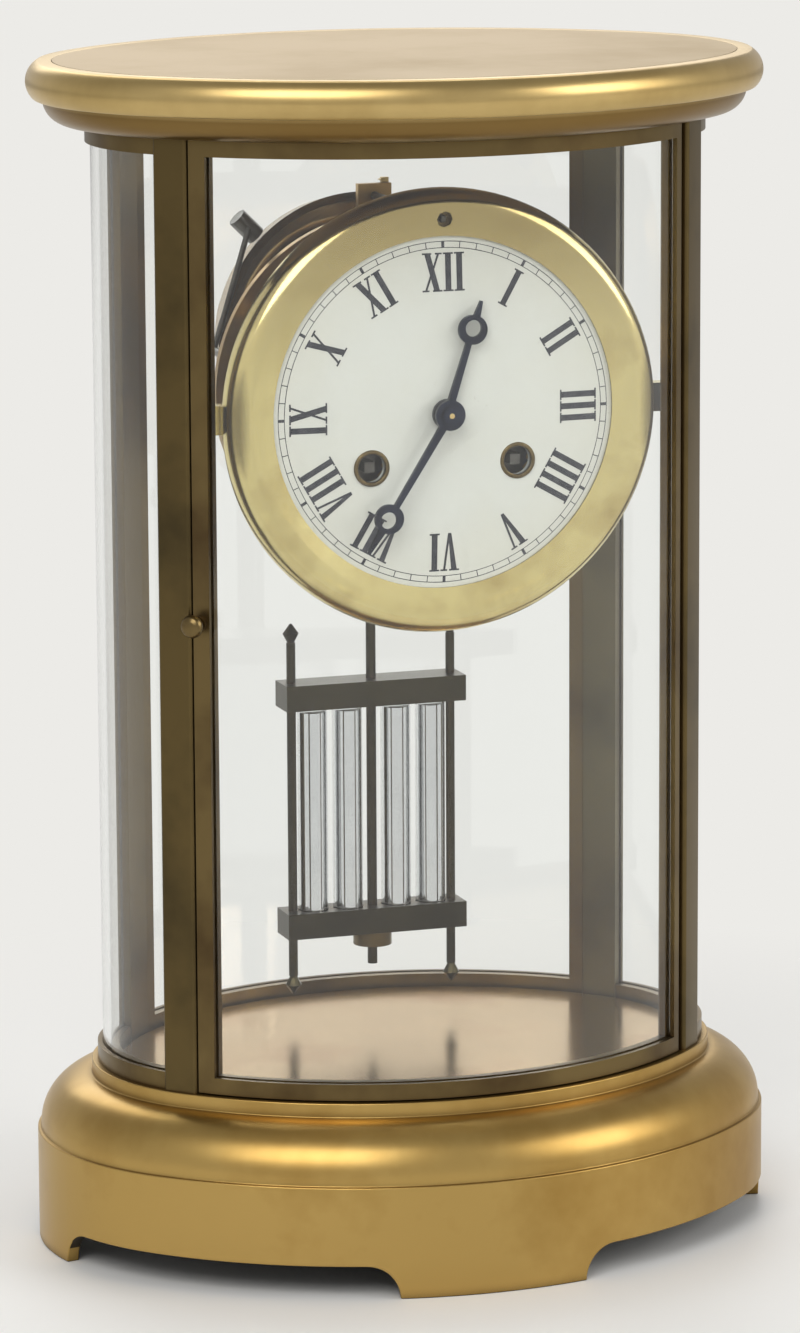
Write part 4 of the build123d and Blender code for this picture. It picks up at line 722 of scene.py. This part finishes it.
@dataclass(frozen=True)
class Oval:
    """The plan of the case: four arcs that meet at the posts."""

    half_width: float = 72.0
    half_depth: float = 53.5
    post_angle: float = 47.0
    front_pad: float = 22.0
    side_pad: float = 12.0

    def arcs(self) -> tuple[Arc, ...]:
        """The arcs between the posts.

        Returns:
            The front, right, rear and left arcs.
        """
        angle = math.radians(self.post_angle)
        sine, cosine = math.sin(angle), math.cos(angle)
        gap = (self.half_width - self.half_depth) / (cosine + sine - 1)
        end_x, front_y = gap * sine, gap * cosine
        end, front = self.half_width - end_x, self.half_depth + front_y
        rest = 90 - self.post_angle
        return (
            Arc(0, front_y, front, -90, self.post_angle, self.front_pad),
            Arc(end_x, 0, end, 0, rest, self.side_pad),
            Arc(0, -front_y, front, 90, self.post_angle, self.front_pad),
            Arc(-end_x, 0, end, 180, rest, self.side_pad),
        )


@dataclass
class Moulding:
    """A section carried round the oval and closed by a web across the middle.

    Args:
        name: The CAD node it stands for.
        outline: Distance outside the oval and height of each corner, from one face of the web
            round to the other.
        rise: Height of the arches cut in its foot, 0 for none.
        edge: How far corners sharper than the angle sharp are eased.
        foot: Points of the outline under this height are lifted into the arches.
        downward: Faces whose normal points further down than this take the inside finish: raw
            casting and painted shade.
        inward: Faces that face further inward than this take that inside finish too.
    """

    name: str
    outline: list[Point]
    rise: float = 0.0
    edge: float = 0.3
    edge_steps: int = 3
    sharp: float = 40.0
    foot: float = 0.05
    plain_steps: int = 80
    pad_steps: int = 12
    bend_steps: int = 10
    run_steps: int = 24
    join: float = 0.01
    downward: float = -0.5
    inward: float = -20.0
    oval: Oval = Oval()

    def reach(self, arc: Arc) -> float:
        """Radius of the moulding's outermost face along an arc."""
        return arc.radius + max(spread for spread, _ in self.outline)

    def stops(self, arc: Arc) -> list[float]:
        """The angles off an arc's middle at which the section stands.

        Args:
            arc: The arc.

        Returns:
            The angles in degrees, in order.
        """
        if self.rise == 0:
            count = self.plain_steps
            return [arc.half * (2 * step / count - 1) for step in range(count + 1)]
        near = math.degrees(math.asin(arc.pad / self.reach(arc)))
        bend = math.degrees(self.rise / self.reach(arc))
        far = near + bend
        side = [near * step / self.pad_steps for step in range(self.pad_steps)]
        quarter = [90 / self.bend_steps * step for step in range(self.bend_steps)]
        side += [near + bend * (1 - math.cos(math.radians(angle))) for angle in quarter]
        rest = arc.half - far
        side += [far + rest * step / self.run_steps for step in range(self.run_steps + 1)]
        return [-angle for angle in reversed(side[1:])] + side

    def arch(self, arc: Arc, angle: float) -> float:
        """Height of the foot at an angle off an arc's middle.

        Args:
            arc: The arc.
            angle: The angle in degrees.

        Returns:
            The height in millimetres.
        """
        reach = self.reach(arc)
        along = math.radians(abs(angle)) * reach - reach * math.asin(arc.pad / reach)
        short = self.rise - min(max(along, 0.0), self.rise)
        return math.sqrt(max(self.rise**2 - short**2, 0.0))

    def carry(self, mesh: Mesh, arc: Arc) -> None:
        """Spins the section from stop to stop along one arc, and lifts its foot into the arches.

        Args:
            mesh: The mesh that takes it.
            arc: The arc.
        """
        known = set(mesh.verts)
        stops = self.stops(arc)
        start = math.radians(arc.middle + stops[0])
        verts = []
        for spread, height in self.outline:
            out = arc.radius + spread
            corner = (arc.x + out * math.cos(start), arc.y + out * math.sin(start), height)
            verts.append(mesh.verts.new(corner))
        geom: list[Part] = verts + [mesh.edges.new(pair) for pair in zip(verts, verts[1:])]
        for near, far in zip(stops, stops[1:]):
            spun = bmesh.ops.spin(
                mesh, geom=geom, cent=(arc.x, arc.y, 0), axis=(0, 0, 1), dvec=(0, 0, 0),
                angle=math.radians(far - near), steps=1, use_merge=False, use_duplicate=False,
            )
            geom = [part for part in spun["geom_last"] if isinstance(part, Part)]
        for vert in mesh.verts:
            if self.rise > 0 and vert not in known and vert.co.z < self.foot:
                angle = math.degrees(math.atan2(vert.co.y - arc.y, vert.co.x - arc.x))
                off = (angle - arc.middle + 180) % 360 - 180
                vert.co.z = max(vert.co.z, self.arch(arc, off))

    def ease(self, mesh: Mesh) -> None:
        """Rounds every sharp corner a little, and keeps the foot flat on the ground.

        Args:
            mesh: The closed moulding.
        """
        limit = math.radians(self.sharp)
        bmesh.ops.bevel(
            mesh, geom=[edge for edge in mesh.edges if edge.calc_face_angle(0.0) > limit],
            offset=self.edge, offset_type="OFFSET", segments=self.edge_steps, profile=0.5,
            affect="EDGES", clamp_overlap=True, material=-1,
        )
        for vert in mesh.verts:
            vert.co.z = max(vert.co.z, 0.0)

    def build(self, material: Material, inside: Material, slot: str) -> None:
        """Makes the moulding in place of the CAD solid of its name.

        Args:
            material: The finish of what shows.
            inside: The finish of what faces down or inward.
            slot: Not used.
        """
        mesh = bmesh.new()
        for arc in self.oval.arcs():
            self.carry(mesh, arc)
        bmesh.ops.remove_doubles(mesh, verts=mesh.verts, dist=self.join)
        rims = [edge for edge in mesh.edges if edge.is_boundary]
        bmesh.ops.holes_fill(mesh, edges=rims, sides=0)
        bmesh.ops.recalc_face_normals(mesh, faces=mesh.faces)
        self.ease(mesh)
        for face in mesh.faces:
            middle, normal = face.calc_center_median(), face.normal
            inward = middle.x * normal.x + middle.y * normal.y < self.inward
            face.material_index = int(normal.z < self.downward or inward)
        piece = new_piece(self.name + "_moulding", mesh, material, CASE_BODY)
        piece.data.materials.append(inside)
        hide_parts(self.name)
        piece.modifiers.new("true_shading", "WEIGHTED_NORMAL")


@dataclass
class Case:
    """Base, posts, rails, fixed glass and cornice; a spread is a distance outside the oval."""

    finishes: Finishes
    posts: tuple[str, ...] = (
        "post_front_left", "post_front_right", "post_rear_left", "post_rear_right",
    )
    hazed_post: str = "post_rear_right"
    base_height: float = 41.5
    band_height: float = 25.6
    band_spread: float = 13.5
    neck_spread: float = 0.9
    quirk: float = 0.8
    shoulder_steps: int = 18
    wall: float = 3.0
    pocket_spread: float = 0.1
    arch_rise: float = 7.5
    cornice_foot: float = 256.0
    cornice_neck: float = 3.2
    ovolo_radius: float = 5.6
    soffit_spread: float = 10.8
    bulge_spread: float = 12.5
    rim_spread: float = 9.8
    cornice_steps: int = 12
    lid_spread: float = 6.5
    lid_depth: float = 2.0
    throat_spread: float = 1.8
    total_height: float = 270.0

    def base_outline(self) -> list[Point]:
        """The base's section.

        Returns:
            Neck, quarter round shoulder, quirk, band and the hollow inside.
        """
        foot = self.band_height + self.quirk
        shoulder = self.band_spread - self.quirk - self.neck_spread
        inner, web = self.band_spread - self.wall, self.base_height - self.wall
        throat = self.neck_spread - self.wall
        return [
            (throat, self.base_height), (self.neck_spread, self.base_height),
            *round_points((self.neck_spread, foot), shoulder, 90, 0, self.shoulder_steps),
            (self.band_spread - self.quirk, self.band_height),
            (self.band_spread, self.band_height), (self.band_spread, 0.0),
            (inner, 0.0), (inner, foot), (inner - self.wall, foot + self.wall),
            (self.pocket_spread, web - self.wall), (self.pocket_spread, web), (throat, web),
        ]

    def cornice_outline(self) -> list[Point]:
        """The cornice's section.

        Returns:
            Quarter round, bulging fascia, rim and the seat of the lid.
        """
        top, soffit = self.total_height, self.cornice_foot + self.ovolo_radius
        chord = Vector((self.rim_spread - self.soffit_spread, top - soffit))
        middle = Vector((self.soffit_spread + self.rim_spread, soffit + top)) / 2
        out = Vector((chord.y, -chord.x)).normalized()
        sag = self.bulge_spread - middle.x
        radius = (chord.length**2 / 4 + sag**2) / (2 * sag)
        centre = middle + out * (sag - radius)
        half = math.degrees(math.asin(chord.length / 2 / radius))
        lean = math.degrees(math.atan2(out.y, out.x))
        seat, steps = top - self.lid_depth, self.cornice_steps
        return [
            (self.throat_spread, self.cornice_foot),
            *round_points((self.cornice_neck, soffit), self.ovolo_radius, -90, 0, steps),
            *round_points((centre.x, centre.y), radius, lean - half, lean + half, steps),
            (self.lid_spread, top), (self.lid_spread, seat), (self.throat_spread, seat),
            (self.throat_spread, self.cornice_foot + self.wall),
        ]

    def build(self) -> None:
        """Makes the mouldings and dresses the case's solids."""
        coats = self.finishes
        base = Moulding("base_plinth", self.base_outline(), self.arch_rise)
        # Inside faces of the base take the dark raw finish with painted shade.
        base.build(coats.base, coats.shaded_underside, "gilt_brass")
        cornice = Moulding("top_cornice", self.cornice_outline())
        cornice.build(coats.cornice, coats.cornice, "gilt_brass")
        dress("floor_plate", coats.floor)
        dress("top_panel", coats.top)
        # The posts take the dark copy with painted reflection, the rear right one the hazed copy.
        for name in self.posts:
            dress(name, coats.hazed_brass if name == self.hazed_post else coats.shaded_brass)
        dress("post_nuts", coats.steel)
        for side in (Side.LEFT, Side.RIGHT):
            # Side rails in the darker brass copy: painted shade.
            dress("side_rails_" + side.value, coats.shaded_rail)
            dress("side_glass_" + side.value, coats.pane)


@dataclass
class Door:
    """One glazed door with its knob and pivots, at the front or the rear."""

    finishes: Finishes
    side: Side

    def build(self) -> None:
        """Dresses the door's solids."""
        door = self.side.value + "_door_"
        # Frame and knob take the darker brass copy: painted shade.
        dress(door + "frame", self.finishes.shaded_rail)
        dress(door + "glass", self.finishes.pane)
        dress(door + "knob", self.finishes.shaded_rail, TOOTH_ANGLE)
        dress(door + "pivots", self.finishes.steel)


@dataclass
class Dial:
    """Bezel, enamel, print and winding rings, in millimetres from the dial's centre."""

    finishes: Finishes
    numerals: tuple[str, ...] = (
        "XII", "I", "II", "III", "IIII", "V", "VI", "VII", "VIII", "IX", "X", "XI",
    )
    height: float = 193.0
    print_radius: float = 31.4
    numeral_height: float = 8.6
    v_width: float = 4.4
    x_width: float = 4.6
    letter_gap: float = 0.25
    stroke: float = 1.35
    hairline: float = 0.5
    overhang: float = 0.5
    slant_inset: float = 0.6
    serif_height: float = 0.38
    short_serif: float = 1.6
    long_serif: float = 2.2
    print_span: float = 3.0
    print_cuts: int = 2
    track_inner: float = 36.8
    track_outer: float = 38.2
    ring_half: float = 0.08
    ring_steps: int = 180
    hour_tick: float = 0.34
    minute_tick: float = 0.10
    rim_radius: float = 39.3
    rim_y: float = -31.0
    crown_depth: float = 1.4
    knee_depth: float = 1.05
    knee_share: float = 0.5
    print_lift: float = 0.04
    winding_x: float = 17.0
    winding_drop: float = 11.5
    collet_inner: float = 3.2
    collet_outer: float = 4.1
    collet_rise: float = 0.35
    collet_inner_edge: float = 0.21
    collet_outer_edge: float = 0.105
    collet_lip: float = 0.2
    collet_slope: float = 0.3
    collet_bore: float = 0.9
    collet_skirt: float = 0.5
    collet_steps: int = 64

    def surface_y(self, radius: float) -> float:
        """Depth of the crowned enamel.

        Args:
            radius: Distance from its centre.

        Returns:
            The depth at that distance.
        """
        share, knee = min(radius / self.rim_radius, 1.0), self.knee_share
        if share > knee:
            return self.rim_y - self.knee_depth * (1 - share) / (1 - knee)
        fall = self.crown_depth - self.knee_depth
        return self.rim_y - self.crown_depth + fall * share / knee

    def limb(self, foot: Point, head: Point) -> list[Point]:
        """A stroke of a letter, from the left and right of its foot to those of its head."""
        half = self.numeral_height / 2
        return [(foot[0], -half), (foot[1], -half), (head[1], half), (head[0], half)]

    def serif(self, left: float, right: float, end: int) -> list[Point]:
        """A serif across the head or the foot of a letter.

        Args:
            left: Where it starts.
            right: Where it ends.
            end: 1 for the head, -1 for the foot.

        Returns:
            Its corners.
        """
        tip = end * self.numeral_height / 2
        low, high = sorted((tip, tip - end * self.serif_height))
        return [(left, low), (right, low), (right, high), (left, high)]

    def glyph(self, letter: str, left: float) -> tuple[list[list[Point]], float]:
        """The strokes of one letter of a numeral.

        Args:
            letter: I, V or X.
            left: Where it starts.

        Returns:
            Its patches and its right end.
        """
        thick, thin, inset = self.stroke, self.hairline, self.overhang
        start = left + inset
        if letter == "I":
            right = left + thick + 2 * inset
            stem = (start, start + thick)
            return [
                self.limb(stem, stem), self.serif(left, right, -1), self.serif(left, right, 1),
            ], right
        if letter == "V":
            right = left + self.v_width
            foot, head = left + self.v_width / 2, right - self.slant_inset
            return [
                self.limb((foot - thin / 2, foot + thin), (start, start + thick)),
                self.limb((foot, foot + thin), (head - thin, head)),
                self.serif(left, left + thick + 2 * inset, 1),
                self.serif(right - self.short_serif, right, 1),
            ], right
        right = left + self.x_width
        finish = right - inset
        return [
            self.limb((finish - thick, finish), (start, start + thick)),
            self.limb((start, start + thin), (finish - thin, finish)),
            self.serif(left, left + self.short_serif, -1),
            self.serif(right - self.long_serif, right, -1),
            self.serif(left, left + self.long_serif, 1),
            self.serif(right - self.short_serif, right, 1),
        ], right

    def lay_print(self, name: str, mesh: Mesh) -> None:
        """Drops flat print on to the crowned enamel, just proud of it.

        Args:
            name: The print's name.
            mesh: The print, flat about the origin, which is freed.
        """
        for vert in mesh.verts:
            radius = math.hypot(vert.co.x, vert.co.z)
            vert.co.y = self.surface_y(radius) - self.print_lift
            vert.co.z += self.height
        new_piece(name, mesh, self.finishes.paint, CASE_BODY, solid=False)

    def build_numerals(self) -> None:
        """Prints the twelve numerals, each upright on its own radius."""
        mesh = bmesh.new()
        for hour, word in enumerate(self.numerals):
            piece = bmesh.new()
            patches: list[list[Point]] = []
            right = -self.letter_gap
            for letter in word:
                strokes, right = self.glyph(letter, right + self.letter_gap)
                patches += strokes
            for patch in patches:
                piece.faces.new([piece.verts.new((x - right / 2, 0.0, z)) for x, z in patch])
            spans = [edge for edge in piece.edges if edge.calc_length() > self.print_span]
            bmesh.ops.subdivide_edges(piece, edges=spans, cuts=self.print_cuts, use_grid_fill=True)
            bmesh.ops.triangulate(piece, faces=piece.faces)
            bmesh.ops.translate(piece, vec=(0, 0, self.print_radius), verts=piece.verts)
            turn = Matrix.Rotation(math.radians(HOUR_ANGLE * hour), 4, "Y")
            bmesh.ops.rotate(piece, cent=(0, 0, 0), matrix=turn, verts=piece.verts)
            data = bpy.data.meshes.new("numeral")
            piece.to_mesh(data)
            piece.free()
            mesh.from_mesh(data)
            bpy.data.meshes.remove(data)
        self.lay_print("dial_numerals", mesh)

    def build_track(self) -> None:
        """Prints the minute track: two fine rings and sixty ticks between them."""
        mesh = bmesh.new()
        low, high = self.track_inner, self.track_outer
        for radius in (low, high):
            ends = [radius - self.ring_half, radius + self.ring_half]
            start = [mesh.verts.new((end, 0.0, 0.0)) for end in ends]
            turn_round(mesh, start + [mesh.edges.new(start)], self.ring_steps)
        for minute in range(60):
            wide = self.hour_tick if minute % 5 == 0 else self.minute_tick
            turn = Matrix.Rotation(math.radians(MINUTE_ANGLE * minute), 4, "Y")
            corners = [(-wide, low), (wide, low), (wide, high), (-wide, high)]
            mesh.faces.new([mesh.verts.new(turn @ Vector((x, 0.0, z))) for x, z in corners])
        self.lay_print("minute_track", mesh)

    def build_collets(self) -> None:
        """Turns the brass ring round each winding hole."""
        face = self.surface_y(math.hypot(self.winding_x, self.winding_drop))
        inner, outer, top = self.collet_inner, self.collet_outer, face - self.collet_rise
        profile = [
            (inner, face + self.collet_bore), (inner, face - self.collet_inner_edge),
            (inner + self.collet_lip, top), (outer - self.collet_slope, top),
            (outer, face - self.collet_outer_edge), (outer, face + self.collet_skirt),
        ]
        for side, x in ((Side.LEFT, -self.winding_x), (Side.RIGHT, self.winding_x)):
            mesh = bmesh.new()
            verts = [mesh.verts.new((radius, depth, 0.0)) for radius, depth in profile]
            edges = [mesh.edges.new(pair) for pair in zip(verts, verts[1:] + verts[:1])]
            turn_round(mesh, verts + edges, self.collet_steps)
            shift = (x, 0, self.height - self.winding_drop)
            bmesh.ops.translate(mesh, vec=shift, verts=mesh.verts)
            name = "winding_collet_" + side.value
            # The collets take the dark brass copy: painted shade round the winding holes.
            new_piece(name, mesh, self.finishes.shaded_brass, CASE_BODY)

    def build(self) -> None:
        """Builds the print and the collets and dresses the dial's solids."""
        dress("dial_bezel", self.finishes.bezel, CAST_ANGLE)
        dress("enamel_dial", self.finishes.enamel)
        dress("dial_screws", self.finishes.steel)
        self.build_numerals()
        self.build_track()
        self.build_collets()


@dataclass
class Movement:
    """Plates, trains, winding, motion work, hands, striking and suspension."""

    finishes: Finishes
    wheels: tuple[str, ...] = (
        "hour_wheel", "minute_wheel", "intermediate_wheel", "centre_wheel", "third_wheel",
        "escape_wheel", "pin_wheel", "warning_wheel", "fly", "going_barrel", "strike_barrel",
        "regulator_slider", "suspension_spring",
    )
    plates: tuple[str, ...] = ("front_plate", "back_plate", "plate_pillars", "back_cock")
    steels: tuple[str, ...] = (
        "pillar_pins", "cannon_pinion", "winding_clicks", "pallet_anchor", "bell_stand",
    )
    # These take the dark steel; on the winding arbors it is painted shade in the winding holes.
    aged: tuple[str, ...] = (
        "going_winding_arbor", "strike_winding_arbor", "hammer", "regulator_arbor",
    )
    hands: tuple[str, ...] = ("minute_hand", "hour_hand")
    blued: tuple[str, ...] = ("hand_nut", "suspension_spring_top")
    hand_swell: float = 0.3

    def build(self) -> None:
        """Dresses the movement's solids."""
        coats = self.finishes
        groups = (
            (self.wheels, coats.wheel), (self.plates, coats.plate), (self.steels, coats.steel),
            (self.aged, coats.dark_steel),
        )
        for names, material in groups:
            for name in names:
                dress(name, material, TOOTH_ANGLE)
        for name in self.hands + self.blued:
            dress(name, coats.blued)
        dress("bell", coats.bell)
        for name in self.hands:
            self.swell(name)

    def swell(self, name: str) -> None:
        """Fills a hand out by a hair all round, as a polished and blued hand reads.

        Args:
            name: The hand's node.
        """
        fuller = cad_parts[name].modifiers.new("fuller_edges", "DISPLACE")
        fuller.direction = "NORMAL"
        fuller.mid_level = 0.0
        fuller.strength = self.hand_swell * MM


@dataclass
class Pendulum:
    """Rod, barred frame, vials and mercury."""

    finishes: Finishes

    def build(self) -> None:
        """Dresses the pendulum's solids."""
        dress("pendulum_rod", self.finishes.bob, TOOTH_ANGLE)
        dress("pendulum_frame", self.finishes.bob, TOOTH_ANGLE)
        dress("rating_nut", self.finishes.shaded_brass, TOOTH_ANGLE)
        dress("mercury_vials", self.finishes.vial)
        dress("mercury_columns", self.finishes.mercury)


@dataclass(frozen=True)
class Lamp:
    """A square soft lamp that faces the clock; its power is in watts."""

    name: str
    place: Place
    size: float
    power: float
    target: Place = (0.0, 0.0, 0.13)

    def build(self) -> None:
        """Sets the lamp up."""
        data = bpy.data.lights.new(self.name, "AREA")
        data.size = self.size
        data.energy = self.power
        lamp = bpy.data.objects.new(self.name, data)
        lamp.location = self.place
        aim = Vector(self.target) - Vector(self.place)
        lamp.rotation_euler = aim.to_track_quat("-Z", "Y").to_euler()
        show(lamp)


@dataclass
class Studio:
    """Pale floor, soft lamps, world and camera, in metres and degrees."""

    finishes: Finishes
    lamps: tuple[Lamp, ...] = (
        Lamp("key_lamp", (-0.9, -1.3, 1.5), 1.2, 20.0),
        Lamp("fill_lamp", (1.4, -1.0, 0.9), 1.0, 12.0),
        Lamp("rear_lamp", (0.2, 1.5, 1.3), 1.4, 12.0),
    )
    floor_half: float = 6.0
    horizon_light: float = 0.68
    overhead_light: float = 0.34
    horizon: float = 0.1
    overhead: float = 0.9
    light_colour: Rgba = colour(0.95, 0.95, 0.96)
    target: Place = (0.0, 0.0, 0.1298)
    distance: float = 1.4
    elevation: float = 10.95
    azimuth: float = -18.4
    roll: float = -0.3
    lens: float = 165.3
    sensor: float = 36.0
    nearest: float = 0.05
    furthest: float = 50.0

    def build_floor(self) -> None:
        """A wide level floor."""
        mesh = bmesh.new()
        bmesh.ops.create_grid(mesh, x_segments=1, y_segments=1, size=self.floor_half)
        data = bpy.data.meshes.new("pale_floor")
        mesh.to_mesh(data)
        mesh.free()
        data.materials.append(self.finishes.ground)
        floor = bpy.data.objects.new("pale_floor", data)
        show(floor)

    def build_world(self) -> None:
        """A plain world: pale to the eye, and as light brightest near the horizon."""
        tree = Tree(bpy.data.worlds.new("pale_world"), "OutputWorld")
        height = tree.add("SeparateXYZ", Vector=tree.place()).outputs["Z"]
        strength = tree.spread(
            height, self.horizon, self.overhead, self.horizon_light, self.overhead_light
        )
        light = tree.add("Background", Color=self.light_colour, Strength=strength)
        seen = tree.add("Background", Color=PALE_GROUND)
        bpy.context.scene.world = tree.finish(tree.choose(tree.in_sight(), light, seen))

    def build_camera(self) -> None:
        """The camera at the photograph's angle, a little left of the front and above."""
        data = bpy.data.cameras.new("photo_camera")
        data.lens = self.lens
        data.sensor_width = self.sensor
        data.clip_start = self.nearest
        data.clip_end = self.furthest
        camera = bpy.data.objects.new("photo_camera", data)
        turn, lift = math.radians(self.azimuth), math.radians(self.elevation)
        level = math.cos(lift)
        back = Vector((math.sin(turn) * level, -math.cos(turn) * level, math.sin(lift)))
        camera.location = Vector(self.target) + back * self.distance
        facing = (-back).to_track_quat("-Z", "Y").to_matrix().to_4x4()
        rolled = facing @ Matrix.Rotation(math.radians(self.roll), 4, "Z")
        camera.rotation_euler = rolled.to_euler()
        show(camera)
        bpy.context.scene.camera = camera

    def build(self) -> None:
        """Sets the stage, the lamps and the camera."""
        self.build_floor()
        for lamp in self.lamps:
            lamp.build()
        self.build_world()
        self.build_camera()
        bpy.context.scene.view_settings.view_transform = "Standard"


def main() -> None:
    """Builds and dresses every sub-assembly, then sets the studio."""
    logging.basicConfig(level=logging.INFO, format="%(message)s")
    finishes = Finishes()
    assemblies = (
        Case(finishes), Door(finishes, Side.FRONT), Door(finishes, Side.REAR), Dial(finishes),
        Movement(finishes), Pendulum(finishes), Studio(finishes),
    )
    for assembly in assemblies:
        assembly.build()
        LOG.info("finished %s", type(assembly).__name__)


if __name__ == "__main__":
    main()
